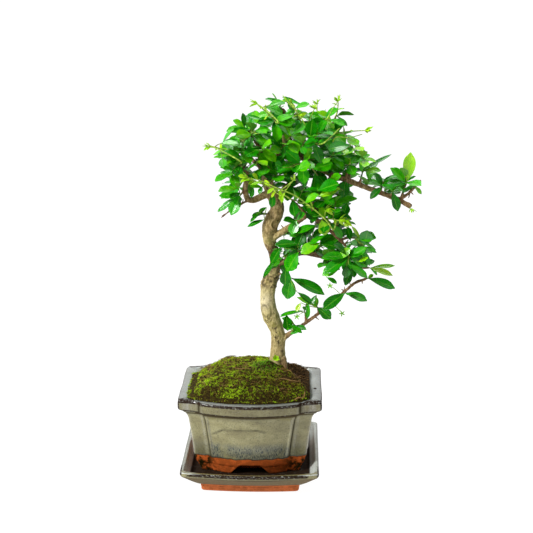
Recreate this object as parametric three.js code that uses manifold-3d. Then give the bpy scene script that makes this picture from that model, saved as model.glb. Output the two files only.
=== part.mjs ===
// A fukien tea bonsai growing in a glazed, bowed rectangular pot that stands on its own saucer.
// Millimetres, +Z up, the front faces -Y. The origin is the middle of the saucer's underside.
import * as THREE from "three";
import { mergeVertices } from "three/addons/utils/BufferGeometryUtils.js";
import Module from "manifold-3d";

const wasm = await Module();
wasm.setup();

// Clearance between pieces, and the smallest edge that is kept
const GAP = 0.3;
const SLIVER = 0.05;
// Outlines: shares of the half width where a bowed side has points, and how far the middle point of
// a rounded corner lies in from the corner, as a share of its radius
const BOW_SHARES = [0.35, 0.7];
const CORNER_SHARE = 0.3;

// Saucer: height, half width, corner depth and middle depth of each outline, from the foot up
// the outside, over the lip and down to the inner floor
const SAUCER_CORNER = 5;
const SAUCER_LEVELS = [
  [0, 51.5, 54.3, 57.3],
  [8.5, 53, 55.5, 58.5],
  [9, 56, 58, 62],
  [13, 61, 62.5, 68],
  [22.5, 72, 69.5, 77.5],
  [24, 72.5, 70, 78],
  [27, 72.2, 69.7, 77.7],
  [26.6, 68.5, 66, 74],
  [23, 66.5, 64, 72],
  [17, 61, 60, 67],
];
const SAUCER_FLOOR = 17;

// Pot: height, ear half width, ear depth, panel half width, panel end depth, panel middle depth
const POT_LEVELS = [
  [SAUCER_FLOOR, 52.5, 40, 38.5, 43, 52],
  [30, 57.5, 43.5, 40, 47, 55.5],
  [37, 59.5, 44.5, 40.5, 48.6, 57],
  [55, 61, 46, 42.5, 51, 59.5],
  [80, 64.5, 49, 46, 54.5, 63.5],
  [85.5, 67, 50.5, 48, 57, 65.5],
  [89, 75, 52.5, 51.5, 60.5, 70],
  [98.8, 75, 52.5, 51.5, 60.5, 70],
  [100, 73.8, 51.5, 50.8, 59.5, 68.8],
];
const RIM_TOP = 100;
const POT_EAR_ROUND = 3;
const POT_EAR_BOW = 0.4;
const POT_SIDE_RIDGE = 30;
// The step between a panel and its ear: its width, and where its middle lies in its depth
const POT_STEP = { width: 1, share: 0.35 };
const POT_FLOOR = 33;
const CAVITY_CORNER = 7;
// Height, half width, corner depth and middle depth of the pot's hollow
const CAVITY_LEVELS = [
  [POT_FLOOR, 50, 40, 48],
  [86, 57, 44, 57],
  [RIM_TOP, 64.5, 47, 60.5],
];
const FOOT_RECESS = { height: 2.5, halfWidth: 42, halfDepth: 37 };
const FOOT_GATE = { bottom: 42, top: 20, height: 11.5, depth: 30, frontInner: 43, sideInner: 41 };
const GATE_MARGIN = 1;
const DRAIN_RADIUS = 9;
const ROUND_SIDES = { drain: 16, trunkFoot: 12 };
const MESH_PLATE = { side: 36, thickness: 1 };

// Soil mound and the moss on it. The trunk stands in a plain hole.
const TRUNK_FOOT = { x: 27, y: 8, radius: 7.2, bottom: 70 + GAP, top: 124 };
const SOIL_EDGE = 96.5;
const SOIL_RISE = 21;
const SOIL_FALL_LENGTH = 18;
const SOIL_STEPS = [0.07, 0.18, 0.36, 0.62, 0.95];
const MOSS_STEPS = [0.02, 0.08, 0.2, 0.4, 0.68, 0.95];
const MOSS_THICKNESS = 4.2;
const MOSS_EDGE_THICKNESS = 1.8;
const MOSS_LUMP = 1.6;
// How far the mat's underside starts below the mound, before the soil is cut away from it
const MOSS_SINK = 2;
// The moss leaves the ground bare between these two bearings round the trunk, in degrees
const BARE_FROM = -50;
const BARE_TO = 85;

// Wood: each row is x, y, z and the radius there
const TRUNK = [
  [27, 8, 123, 8.3], [28, 8, 142, 7.4], [27, 6, 158, 7.4], [20, 3, 176, 8.8], [17, 2, 194, 7.8],
  [18, 3, 210, 7.6], [24, 6, 225, 6.0], [24, 6, 242, 5.7], [19, 3, 258, 6.6], [20, 0, 275, 8.5],
  [27, -1, 291, 7.5], [22, 3, 307, 6.8], [16, 5, 322, 5.5], [24, 4, 339, 4.6], [34, 2, 358, 3.9],
  [32, 1, 377, 2.8], [34, 0, 393, 1.8],
];
const BRANCHES = {
  low_right: [[29, 7, 146, 3.4], [47, 2, 160, 2.1], [69, -8, 180, 1.8], [90, -13, 200, 1.7],
    [107, -14, 216, 1.6], [117, -13, 220, 1.6]],
  mid_right: [[26, 5, 227, 3.8], [38, 0, 238, 3.0], [52, -5, 246, 2.7], [72, -10, 244, 2.4],
    [98, -12, 237, 1.8], [118, -10, 232, 1.6]],
  shoulder: [[20, 2, 259, 4.2], [38, -9, 273, 3.3], [54, -15, 286, 2.9], [67, -18, 296, 2.0]],
  drooping: [[57, -16, 289, 2.4], [69, -20, 284, 2.1], [84, -26, 272, 1.8], [97, -28, 260, 1.5]],
  long_right: [[26, 3, 342, 4.3], [41, -1, 350, 3.7], [58, -5, 343, 3.2], [78, -7, 331, 2.9],
    [102, -8, 322, 2.9], [128, -6, 312, 2.7], [148, -5, 304, 2.6], [164, -5, 296, 2.4]],
  end_twig: [[152, -5, 303, 2.0], [162, -7, 311, 1.5], [173, -8, 324, 1.1]],
  left_low: [[19, 3, 308, 4.2], [0, -3, 301, 3.2], [-6, -5, 312, 3.0], [-4, -6, 329, 2.6],
    [-14, -6, 344, 1.7]],
  left_twig: [[-1, -3, 302, 1.6], [-13, -7, 296, 1.1], [-30, -8, 285, 0.8]],
  left_up: [[17, 5, 325, 3.4], [12, 4, 344, 2.8], [6, 0, 360, 2.3], [-1, -2, 370, 1.8]],
  up_right: [[34, 2, 358, 3.3], [50, 6, 360, 2.8], [62, 8, 357, 2.5], [72, 8, 371, 2.0],
    [83, 8, 377, 1.6]],
  back_high: [[33, 3, 352, 3.2], [40, 18, 362, 2.6], [46, 34, 366, 2.0], [49, 42, 369, 1.6]],
  back_middle: [[24, 2, 298, 3.2], [36, 16, 312, 2.6], [50, 30, 318, 2.0], [56, 38, 323, 1.6]],
  back_left: [[17, 5, 320, 3.0], [8, 20, 332, 2.4], [-2, 32, 339, 1.8]],
};

// Sprays. Each row names a branch and the fraction along it where a twig leaves, then one row for
// each shoot: x, y, z where its stem ends, how many leaves the rule sets round it, their length,
// and after that the tip and width of every leaf that is placed by hand.
// A shoot whose leaves are shorter than PALE_LENGTH is young: a thin stem with narrow pale blades.
const PALE_LENGTH = 14;
const SPRAYS = [
  ["trunk", 1, [[32, 0, 401, 4, 19], [20, -8, 392, 3, 20]]],
  ["trunk", 0.95, [[48, -6, 391, 4, 19], [38, 20, 384, 3, 21]]],
  ["trunk", 0.92, [[27, -22, 382, 4, 23], [7, -26, 403, 4, 9]]],
  ["left_up", 1, [[-6, -8, 377, 3, 21, [-7, -14, 392, 6], [-24, -14, 375, 9]]]],
  ["left_up", 0.8, [[6, -26, 376, 4, 22], [-9, -18, 363, 3, 22]]],
  ["left_up", 0.45, [[12, -30, 360, 4, 24]]],
  ["left_up", 0.6, [[0, 26, 361, 4, 22]]],
  ["left_low", 1, [[-19, -14, 353, 2, 21, [-14, -22, 370, 12]], [-40, -20, 360, 5, 8]]],
  ["left_low", 0.85, [[-12, -16, 341, 3, 21, [-31, -18, 342, 8], [-28, -14, 329, 8]]]],
  ["left_low", 0.5, [[-11, -10, 307, 1, 18, [-32, -14, 309, 10], [-36, -10, 291, 7],
    [-20, -16, 289, 13]]]],
  ["left_low", 0.7, [[-2, 22, 324, 4, 22]]],
  ["trunk", 0.7, [[18, -26, 341, 4, 23], [34, -30, 332, 3, 22]]],
  ["trunk", 0.8, [[32, -26, 358, 3, 23], [42, -30, 373, 4, 23]]],
  ["trunk", 0.6, [[8, -8, 287, 2, 17]]],
  ["up_right", 1, [[90, 8, 384, 3, 21], [88, 2, 403, 3, 8]]],
  ["up_right", 0.8, [[74, -8, 388, 4, 22]]],
  ["up_right", 0.6, [[82, -12, 371, 4, 22], [116, -6, 374, 4, 11]]],
  ["up_right", 0.35, [[58, -22, 378, 4, 24], [41, -20, 403, 4, 9]]],
  ["up_right", 0.2, [[52, -34, 362, 3, 22], [66, -28, 364, 3, 24]]],
  ["up_right", 0.7, [[66, 30, 373, 4, 22], [67, 16, 398, 3, 9]]],
  ["long_right", 0.2, [[48, -36, 344, 4, 24], [64, -28, 348, 3, 22], [68, -30, 332, 3, 22]]],
  ["long_right", 0.38, [[85, -22, 353, 4, 25]]],
  ["long_right", 0.45, [[78, -30, 322, 4, 23]]],
  ["long_right", 0.54, [[96, -16, 340, 4, 21], [108, -12, 357, 4, 10]]],
  ["long_right", 0.62, [[114, -10, 334, 3, 21, [143, 0, 351, 5], [131, -20, 337, 8],
    [130, -6, 342, 7]]]],
  ["long_right", 0.74, [[134, -10, 318, 2, 19, [127, -16, 332, 8], [121, -16, 306, 8]]]],
  ["long_right", 0.83, [[144, -9, 312, 2, 16, [151, -14, 293, 10]]]],
  ["long_right", 0.9, [[159, -6, 322, 1, 14, [162, -10, 352, 13], [138, -14, 323, 8],
    [138, -8, 314, 7]]]],
  ["end_twig", 0.5, [[166, -12, 319, 0, 14, [153, -16, 313, 5], [174, -14, 311, 5],
    [177, -4, 317, 5]]]],
  ["long_right", 0.3, [[73, 32, 348, 3, 22]]],
  ["long_right", 0.56, [[102, 24, 334, 3, 22]]],
  ["shoulder", 1, [[75, -24, 305, 4, 22], [85, -8, 309, 3, 22]]],
  ["shoulder", 0.75, [[53, -34, 305, 4, 22], [4, -44, 330, 5, 13]]],
  ["shoulder", 0.45, [[47, -26, 286, 2, 21, [42, -32, 272, 11]]]],
  ["shoulder", 0.85, [[69, 20, 307, 3, 22]]],
  ["drooping", 0.35, [[72, -36, 292, 4, 22], [96, -42, 287, 4, 9]]],
  ["drooping", 0.65, [[93, -22, 286, 3, 22]]],
  ["drooping", 0.85, [[108, -20, 266, 1, 18, [127, -30, 270, 14], [130, -18, 254, 5]]]],
  ["drooping", 1, [[100, -34, 250, 2, 21, [75, -44, 236, 13], [75, -42, 253, 11],
    [86, -44, 266, 12], [116, -38, 259, 11], [120, -36, 241, 12]]]],
  ["mid_right", 1, [[123, -11, 232, 1, 17, [147, -16, 227, 8], [150, -8, 235, 5],
    [102, -22, 243, 12]]]],
  ["mid_right", 0.78, [[104, -22, 236, 2, 20, [97, -32, 219, 9]]]],
  ["mid_right", 0.55, [[72, -18, 257, 2, 20, [51, -26, 255, 13], [92, -20, 268, 10]]]],
  ["mid_right", 0.25, [[49, -16, 255, 2, 20, [27, -24, 262, 9], [38, -26, 235, 12]]]],
  ["mid_right", 0.4, [[64, 16, 256, 3, 21]]],
  ["low_right", 1, [[121, -15, 222, 1, 14, [150, -18, 214, 11]]]],
  ["low_right", 0.68, [[98, -18, 207, 1, 12, [74, -32, 194, 13], [121, -22, 201, 11]]]],
  ["low_right", 0.42, [[69, -13, 190, 1, 14, [49, -18, 203, 6], [84, -20, 180, 12]]]],
  ["low_right", 0.3, [[56, -4, 183, 1, 13, [31, -12, 182, 5], [63, -2, 196, 5]]]],
  ["low_right", 0.16, [[46, -3, 167, 0, 14, [33, -6, 176, 8], [38, -14, 166, 6],
    [58, -10, 165, 6]]]],
  ["trunk", 0.36, [[42, -6, 219, 0, 20, [77, -18, 207, 14], [38, -16, 199, 15],
    [31, -12, 234, 11]]]],
  ["back_high", 1, [[52, 50, 380, 4, 22], [30, 50, 368, 3, 22]]],
  ["back_middle", 1, [[62, 46, 334, 3, 22], [44, 46, 318, 3, 22]]],
  ["back_left", 1, [[-8, 40, 350, 4, 22], [-20, 24, 342, 2, 21]]],
];
// A twig arches by a share of its length. The wood is the first part of it, at least
// TWIG_CLEARANCE out of the branch, and the green stems go on from there.
const TWIG_ARCH = 0.12;
const TWIG_SHARES = { least: 0.5, most: 0.85 };
const TWIG_CLEARANCE = 2.5;
const TWIG_RADII = [1.6, 1.15];
const TWIG_SIDES = 3;
const TWIG_STEPS = 2;
const BRANCH_SIDES = 5;
const BRANCH_STEPS_PER_ROW = 1.5;
const TRUNK_SIDES = 8;
const TRUNK_STEPS = 28;
const STEM_RADII = { leafy: [0.95, 0.7], pale: [0.65, 0.5] };
const STEM_BEND = 0.4;
const STEM_SIDES = 3;
const STEM_STEPS = 2;

// Leaves: a spoon-shaped blade, folded along its midrib and arched towards its tip
const BLADE_THICKNESS = 0.7;
const BLADE_STATIONS = [[0.36, 0.33], [0.76, 0.5]];
const BLADE_FOLD = 0.16;
const BLADE_ARCH = 0.1;
const KITE_WIDEST = 0.55;

// Where the rule sets leaves on a stem, from its tip down: spacing, turn from one to the next in
// degrees, and how far each leans out from the stem. Pale shoots have leaves along PALE_SPREAD of it.
const LEAF_SPACING = 3.4;
const PALE_SPREAD = 0.8;
const LOWEST_LEAF = 0.2;
const LEAF_TURN = 137.5;
const LEAF_LEAN = [30, 56, 68, 76, 82];
const LEAN_SPREAD = 12;
// Sizes: the least share of the spray's leaf length, a tip leaf's share, and width over length
const LEAST_LENGTH = 0.78;
const TIP_LEAF = 0.85;
const LEAF_WIDTH = { least: 0.5, spread: 0.12, pale: 0.36 };
// Which way a blade's upper face looks: partly along the stem, for the rest up and to the front
const LEAF_UP = { stem: 0.6, sky: [0, -0.3, 0.75] };

// Leaves placed by hand: their spacing as a share of the stem, and where their upper face looks
const HAND_SPACING = 0.08;
const HAND_UP = [0.1, -0.6, 0.75];

// A leaf that would touch another thing is tried again: turned by degrees, or with its tip moved to
// the front or back, each try a little smaller
const LEAF_TRIES = 9;
const TRY_TURN = 24;
const TRY_SHRINK = 0.03;
const TRY_NUDGE = 2.5;
const BLADE_CLEARANCE = 0.25;
// The first share of a blade may touch its own spray, where it grows from the stem
const BLADE_ROOT = 0.2;

const radians = THREE.MathUtils.degToRad;
const vector = (x, y, z) => new THREE.Vector3(x, y, z);

// A number from 0 to 1 that depends only on its three arguments
function draw(a, b, c) {
  const value = Math.sin(a * 127.1 + b * 311.7 + c * 74.7) * 43758.5453;
  return value - Math.floor(value);
}

// Solids

function closedGeometry(points, triangles) {
  let volume = 0;
  for (const [a, b, c] of triangles) {
    volume += points[a].dot(points[b].clone().cross(points[c]));
  }
  const outward = triangles.map(([a, b, c]) => (volume > 0 ? [a, b, c] : [a, c, b]));
  const geometry = new THREE.BufferGeometry().setFromPoints(points);
  geometry.setIndex(outward.flat());
  return geometry;
}

function solid(geometry) {
  geometry.deleteAttribute("normal");
  geometry.deleteAttribute("uv");
  const merged = mergeVertices(geometry, 1e-4);
  return new wasm.Manifold(new wasm.Mesh({
    numProp: 3,
    vertProperties: new Float32Array(merged.attributes.position.array),
    triVerts: new Uint32Array(merged.index.array),
  }));
}

function capTriangles(ring) {
  const normal = vector(0, 0, 0);
  ring.forEach((point, i) => normal.add(point.clone().cross(ring[(i + 1) % ring.length])));
  normal.normalize();
  const across = ring[1].clone().sub(ring[0]).normalize();
  const up = normal.clone().cross(across);
  const flat = ring.map((point) => new THREE.Vector2(point.dot(across), point.dot(up)));
  return THREE.ShapeUtils.triangulateShape(flat, []);
}

// A closed skin through rings of equal length, capped at both ends
function loft(rings) {
  const count = rings[0].length;
  const triangles = capTriangles(rings[0]).map(([a, b, c]) => [c, b, a]);
  const last = (rings.length - 1) * count;
  for (const [a, b, c] of capTriangles(rings[rings.length - 1])) {
    triangles.push([last + a, last + b, last + c]);
  }
  for (let row = 0; row < rings.length - 1; row += 1) {
    for (let i = 0; i < count; i += 1) {
      const a = row * count + i;
      const b = row * count + ((i + 1) % count);
      triangles.push([a, b, b + count], [a, b + count, a + count]);
    }
  }
  return solid(closedGeometry(rings.flat(), triangles));
}

// A round tube along part of a curve, with steps + 1 rings
function tube(curve, upTo, steps, sides, radius) {
  const shares = Array.from({ length: steps + 1 }, (_, i) => i / steps);
  const centres = shares.map((share) => curve.getPoint(share * upTo));
  const tangents = shares.map((share) => curve.getTangent(share * upTo));
  const side = Math.abs(tangents[0].z) > 0.9 ? vector(1, 0, 0) : vector(0, 0, 1);
  side.cross(tangents[0]).normalize();
  const rings = centres.map((point, i) => {
    side.addScaledVector(tangents[i], -side.dot(tangents[i])).normalize();
    const other = tangents[i].clone().cross(side);
    return Array.from({ length: sides }, (_, k) => {
      const angle = (2 * Math.PI * k) / sides;
      return point.clone()
        .addScaledVector(side, Math.cos(angle) * radius(shares[i]))
        .addScaledVector(other, Math.sin(angle) * radius(shares[i]));
    });
  });
  return loft(rings);
}

// The largest connected piece, with slivers removed
function whole(shape) {
  const pieces = shape.simplify(SLIVER).decompose();
  return pieces.reduce((best, piece) => (piece.volume() > best.volume() ? piece : best));
}

const group = new THREE.Group();

function addPart(name, shape, colour, roughness, metalness = 0) {
  const mesh = shape.getMesh();
  const geometry = new THREE.BufferGeometry();
  geometry.setAttribute("position", new THREE.BufferAttribute(new Float32Array(mesh.vertProperties), 3));
  geometry.setIndex([...mesh.triVerts]);
  geometry.computeVertexNormals();
  const material = new THREE.MeshStandardMaterial({ color: colour, roughness, metalness });
  const part = new THREE.Mesh(geometry, material);
  part.name = name;
  group.add(part);
}

// Outlines

// The whole outline from its front right quarter, which runs from the front middle to the side
function mirrorQuarter(quarter) {
  const backRight = quarter.map(([x, y]) => [x, -y]).reverse();
  const backLeft = quarter.map(([x, y]) => [-x, -y]).slice(1, -1);
  const frontLeft = quarter.map(([x, y]) => [-x, y]).slice(1).reverse();
  return [...quarter, ...backRight, ...backLeft, ...frontLeft];
}

// Half depth of a bowed edge at a distance from its middle
function bowedDepth(x, halfWidth, edge, middle) {
  return middle - (middle - edge) * (x / halfWidth) ** 2;
}

function bowedRectangle(height, halfWidth, corner, middle, round, inset = 0) {
  const wide = halfWidth - inset;
  const edge = corner - inset;
  const deep = middle - inset;
  const quarter = [[0, -deep]];
  for (const share of BOW_SHARES) {
    quarter.push([wide * share, -bowedDepth(wide * share, wide, edge, deep)]);
  }
  quarter.push(
    [wide - round, -bowedDepth(wide - round, wide, edge, deep)],
    [wide - round * CORNER_SHARE, -edge + round * CORNER_SHARE],
    [wide, -edge + round],
    [wide, (-edge + round) / 3],
  );
  return mirrorQuarter(quarter).map(([x, y]) => vector(x, y, height));
}

function potOutline([height, earX, earY, panelX, panelEnd, panelMiddle]) {
  const step = (panelEnd - earY) * POT_STEP.share;
  const quarter = [[0, -panelMiddle]];
  for (const share of [...BOW_SHARES, 1]) {
    quarter.push([panelX * share, -bowedDepth(panelX * share, panelX, panelEnd, panelMiddle)]);
  }
  quarter.push(
    [panelX + POT_STEP.width, -panelEnd + step],
    [earX - POT_EAR_ROUND, -earY - POT_EAR_BOW],
    [earX - POT_EAR_ROUND * CORNER_SHARE, -earY + POT_EAR_ROUND * CORNER_SHARE],
    [earX, -earY + POT_EAR_ROUND],
    [earX, -POT_SIDE_RIDGE],
  );
  return mirrorQuarter(quarter).map(([x, y]) => vector(x, y, height));
}

// A trapezoid prism that cuts a low gate into the foot on one side, from inner outwards
function footGate(turn, inner) {
  const { bottom, top, height, depth } = FOOT_GATE;
  const wide = bottom / 2 + GATE_MARGIN / 2;
  const section = new THREE.Shape([
    new THREE.Vector2(-wide, -GATE_MARGIN),
    new THREE.Vector2(wide, -GATE_MARGIN),
    new THREE.Vector2(top / 2, height),
    new THREE.Vector2(-top / 2, height),
  ]);
  const prism = new THREE.ExtrudeGeometry(section, { depth, bevelEnabled: false });
  prism.translate(0, 0, inner);
  prism.rotateX(Math.PI / 2);
  prism.rotateZ(turn);
  prism.translate(0, 0, SAUCER_FLOOR);
  return solid(prism);
}

// Saucer and pot

function makeSaucer() {
  return loft(SAUCER_LEVELS.map((level) => bowedRectangle(...level, SAUCER_CORNER)));
}

function makePot() {
  const body = loft(POT_LEVELS.map(potOutline));
  const [, , mouth] = CAVITY_LEVELS;
  const cavity = loft([
    ...CAVITY_LEVELS.map((level) => bowedRectangle(...level, CAVITY_CORNER)),
    bowedRectangle(RIM_TOP + 1, ...mouth.slice(1), CAVITY_CORNER),
  ]);
  const recess = new THREE.BoxGeometry(
    FOOT_RECESS.halfWidth * 2, FOOT_RECESS.halfDepth * 2, FOOT_RECESS.height * 2,
  );
  recess.translate(0, 0, SAUCER_FLOOR);
  const drain = new THREE.CylinderGeometry(
    DRAIN_RADIUS, DRAIN_RADIUS, POT_FLOOR * 2, ROUND_SIDES.drain,
  );
  drain.rotateX(Math.PI / 2);
  const gates = [0, 1, 2, 3].map((quarter) => {
    const inner = quarter % 2 === 0 ? FOOT_GATE.frontInner : FOOT_GATE.sideInner;
    return footGate((quarter * Math.PI) / 2, inner);
  });
  return wasm.Manifold.difference([body, cavity, solid(recess), solid(drain), ...gates]);
}

function makeDrainMesh() {
  const { side, thickness } = MESH_PLATE;
  const plate = new THREE.BoxGeometry(side, side, thickness);
  plate.translate(0, 0, POT_FLOOR + thickness / 2);
  return solid(plate);
}

// Soil and moss

// Height of the mound at a distance from the pot's wall
function moundHeight(distance) {
  return SOIL_EDGE + SOIL_RISE * (1 - Math.exp(-distance / SOIL_FALL_LENGTH));
}

function soilRim(inset) {
  const [, below, above] = CAVITY_LEVELS;
  const share = (SOIL_EDGE - below[0]) / (above[0] - below[0]);
  const mixed = above.map((value, i) => THREE.MathUtils.lerp(below[i], value, share));
  return bowedRectangle(...mixed, CAVITY_CORNER, inset);
}

// The point a share of the way from the pot's wall to the trunk
function moundPoint(edge, share) {
  const centre = vector(TRUNK_FOOT.x, TRUNK_FOOT.y, edge.z);
  const hole = edge.clone().sub(centre).setLength(TRUNK_FOOT.radius).add(centre);
  const point = edge.clone().lerp(hole, share);
  point.z = moundHeight(point.distanceTo(edge));
  return point;
}

function makeSoil() {
  const rim = soilRim(GAP);
  const [floor, waist] = CAVITY_LEVELS.map((level) => bowedRectangle(...level, CAVITY_CORNER, GAP));
  floor.forEach((point) => point.setZ(POT_FLOOR + GAP));
  const mound = SOIL_STEPS.map((share) => rim.map((point) => moundPoint(point, share)));
  const body = loft([floor, waist, rim, ...mound]);
  const { side, thickness } = MESH_PLATE;
  const pocket = new THREE.BoxGeometry(side + 2 * GAP, side + 2 * GAP, thickness + 2 * GAP);
  pocket.translate(0, 0, POT_FLOOR + thickness / 2);
  return body.subtract(solid(pocket)).subtract(trunkHole(TRUNK_FOOT.radius + GAP));
}

// A round post on the trunk's axis, from the bottom of its foot
function trunkPost(radius, bottom, top) {
  const post = new THREE.CylinderGeometry(radius, radius, top - bottom, ROUND_SIDES.trunkFoot);
  post.rotateX(Math.PI / 2);
  post.translate(TRUNK_FOOT.x, TRUNK_FOOT.y, (top + bottom) / 2);
  return solid(post);
}

// A hole for the trunk, which goes on up through anything that lies on the mound
function trunkHole(radius) {
  return trunkPost(radius, TRUNK_FOOT.bottom - GAP, TRUNK_FOOT.top + SOIL_RISE);
}

function makeMoss(soil) {
  const rim = soilRim(2 * GAP);
  const bearing = (point) => {
    const angle = Math.atan2(point.y - TRUNK_FOOT.y, point.x - TRUNK_FOOT.x);
    return THREE.MathUtils.radToDeg(angle);
  };
  const covered = rim.filter((point) => bearing(point) < BARE_FROM || bearing(point) > BARE_TO);
  const firstBack = covered.findIndex((point) => point.y > 0);
  const ordered = [...covered.slice(firstBack), ...covered.slice(0, firstBack)];
  const sections = ordered.map((edge, sector) => {
    const under = MOSS_STEPS.map((share) => moundPoint(edge, share).sub(vector(0, 0, MOSS_SINK)));
    const over = MOSS_STEPS.map((share, step) => {
      const inside = step > 0 && step < MOSS_STEPS.length - 1;
      const full = inside ? MOSS_THICKNESS : MOSS_EDGE_THICKNESS;
      const lump = MOSS_LUMP * (draw(sector, step, 1) - 0.5);
      return moundPoint(edge, share).add(vector(0, 0, full + lump));
    });
    return [...under, ...over.reverse()];
  });
  return whole(loft(sections).subtract(soil.translate(0, 0, GAP)).subtract(trunkHole(TRUNK[0][3])));
}

// Wood

function splineThrough(rows) {
  const points = rows.map(([x, y, z]) => vector(x, y, z));
  return new THREE.CatmullRomCurve3(points, false, "catmullrom", 0.5);
}

function radiusAt(rows, share) {
  const place = share * (rows.length - 1);
  const index = Math.min(Math.floor(place), rows.length - 2);
  return THREE.MathUtils.lerp(rows[index][3], rows[index + 1][3], place - index);
}

function limb(rows, steps, sides) {
  return tube(splineThrough(rows), 1, steps, sides, (share) => radiusAt(rows, share));
}

const limbs = { trunk: TRUNK, ...BRANCHES };

function makeLimbs() {
  const foot = trunkPost(TRUNK_FOOT.radius, TRUNK_FOOT.bottom, TRUNK_FOOT.top);
  const branches = Object.values(BRANCHES).map((rows) => {
    const steps = Math.ceil((rows.length - 1) * BRANCH_STEPS_PER_ROW);
    return limb(rows, steps, BRANCH_SIDES);
  });
  return [foot, limb(TRUNK, TRUNK_STEPS, TRUNK_SIDES), ...branches];
}

// Twigs and the stems of the sprays

function arc(start, bend, end) {
  return new THREE.QuadraticBezierCurve3(start, bend, end);
}

// The path of a spray's twig from its branch, where it is cut, and the stems that go on from there
function sprayPaths(branch, share, shoots) {
  const rows = limbs[branch];
  const start = splineThrough(rows).getPoint(share);
  const aim = vector(0, 0, 0);
  shoots.forEach(([x, y, z]) => aim.add(vector(x, y, z).divideScalar(shoots.length)));
  const length = aim.distanceTo(start);
  const middle = start.clone().lerp(aim, 0.5).add(vector(0, 0, length * TWIG_ARCH));
  const path = arc(start, middle, aim);
  const clear = (radiusAt(rows, share) + TWIG_CLEARANCE) / length;
  const cut = THREE.MathUtils.clamp(clear, TWIG_SHARES.least, TWIG_SHARES.most);
  const twigEnd = path.getPoint(cut);
  const heading = path.getTangent(cut);
  const root = twigEnd.clone().addScaledVector(heading, GAP);
  const stems = shoots.map(([x, y, z]) => {
    const tip = vector(x, y, z);
    const bend = root.clone().addScaledVector(heading, tip.distanceTo(root) * STEM_BEND);
    return arc(root, bend, tip);
  });
  return { path, cut, stems };
}

function taperedTube(path, upTo, radii, steps, sides) {
  return tube(path, upTo, steps, sides, (share) => THREE.MathUtils.lerp(...radii, share));
}

// Leaves

// A blade from its base to its tip. To test the room round it, grow widens and thickens it, and
// start leaves out the first share of its length.
function blade({ base, tip, up, width }, grow = 0, start = 0) {
  const along = tip.clone().sub(base);
  const length = along.length();
  along.normalize();
  const out = up.clone().addScaledVector(along, -up.dot(along)).normalize();
  const across = along.clone().cross(out);
  const place = (u, v) => base.clone()
    .addScaledVector(along, u * length)
    .addScaledVector(across, v * (width + 2 * grow))
    .addScaledVector(out, BLADE_FOLD * width * Math.abs(v) * 2 - BLADE_ARCH * length * u * u);
  const [low, high] = BLADE_STATIONS;
  const face = [
    place(start, 0), place(low[0], -low[1]), place(high[0], -high[1]),
    place(1 + grow / length, 0), place(high[0], high[1]), place(low[0], low[1]),
  ];
  const triangles = [[0, 1, 3], [1, 2, 3], [3, 4, 5], [3, 5, 0]];
  return prism(face, triangles, out, BLADE_THICKNESS / 2 + grow);
}

// A young leaf: a narrow kite folded along its middle
function kite({ base, tip, up, width }, grow = 0, start = 0) {
  const along = tip.clone().sub(base);
  const out = up.clone().addScaledVector(along, -up.dot(along) / along.lengthSq()).normalize();
  const across = along.clone().normalize().cross(out);
  const edge = (side) => base.clone().addScaledVector(along, KITE_WIDEST)
    .addScaledVector(across, side * (width / 2 + grow))
    .addScaledVector(out, width * BLADE_FOLD);
  const root = base.clone().addScaledVector(along, start);
  const face = [root, edge(-1), tip.clone(), edge(1)];
  return prism(face, [[0, 1, 2], [0, 2, 3]], out, BLADE_THICKNESS / 2 + grow);
}

// A thin solid whose two faces are alike and lie half the thickness either side of the points
function prism(face, triangles, out, half) {
  const count = face.length;
  const points = [
    ...face.map((point) => point.clone().addScaledVector(out, half)),
    ...face.map((point) => point.clone().addScaledVector(out, -half)),
  ];
  const all = triangles.flatMap(([a, b, c]) => [[a, b, c], [count + c, count + b, count + a]]);
  for (let i = 0; i < count; i += 1) {
    const next = (i + 1) % count;
    all.push([next, i, count + i], [next, count + i, count + next]);
  }
  return solid(closedGeometry(points, all));
}

// Steps to either side in turn as the tries go on: 0, -1, 1, -2, 2
function sideStep(attempt) {
  return Math.ceil(attempt / 2) * (attempt % 2 === 0 ? 1 : -1);
}

// The leaf that the rule sets at a place on a stem, on one of its tries
function ruledLeaf(stem, sprayIndex, shootIndex, shoot, leafIndex, attempt) {
  const [, , , count, longest] = shoot;
  const seed = shootIndex * 16 + leafIndex;
  const pale = longest < PALE_LENGTH;
  const spacing = pale ? stem.getLength() * PALE_SPREAD / count : LEAF_SPACING;
  const share = Math.max(LOWEST_LEAF, 1 - (leafIndex * spacing) / stem.getLength());
  const base = stem.getPoint(share);
  const axis = stem.getTangent(share);
  const upright = Math.hypot(axis.x, axis.y) < 0.2;
  const first = upright ? vector(1, 0, 0) : vector(0, 0, 1).cross(axis);
  first.addScaledVector(axis, -first.dot(axis)).normalize();
  const second = axis.clone().cross(first);
  const turn = 360 * draw(sprayIndex, shootIndex, 7) + LEAF_TURN * leafIndex;
  const bearing = radians(turn + TRY_TURN * sideStep(attempt));
  const meanLean = LEAF_LEAN[Math.min(leafIndex, LEAF_LEAN.length - 1)];
  const lean = radians(meanLean + LEAN_SPREAD * (draw(sprayIndex, seed, 2) - 0.5));
  const heading = axis.clone().multiplyScalar(Math.cos(lean))
    .addScaledVector(first, Math.cos(bearing) * Math.sin(lean))
    .addScaledVector(second, Math.sin(bearing) * Math.sin(lean));
  const sizeShare = THREE.MathUtils.lerp(LEAST_LENGTH, 1, draw(sprayIndex, seed, 3));
  const size = longest * sizeShare * (1 - TRY_SHRINK * attempt);
  const length = leafIndex === 0 ? size * TIP_LEAF : size;
  const green = LEAF_WIDTH.least + LEAF_WIDTH.spread * draw(sprayIndex, seed, 4);
  const width = length * (pale ? LEAF_WIDTH.pale : green);
  const up = axis.clone().multiplyScalar(LEAF_UP.stem).add(vector(...LEAF_UP.sky));
  return { base, tip: base.clone().addScaledVector(heading, length), up, width };
}

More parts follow.
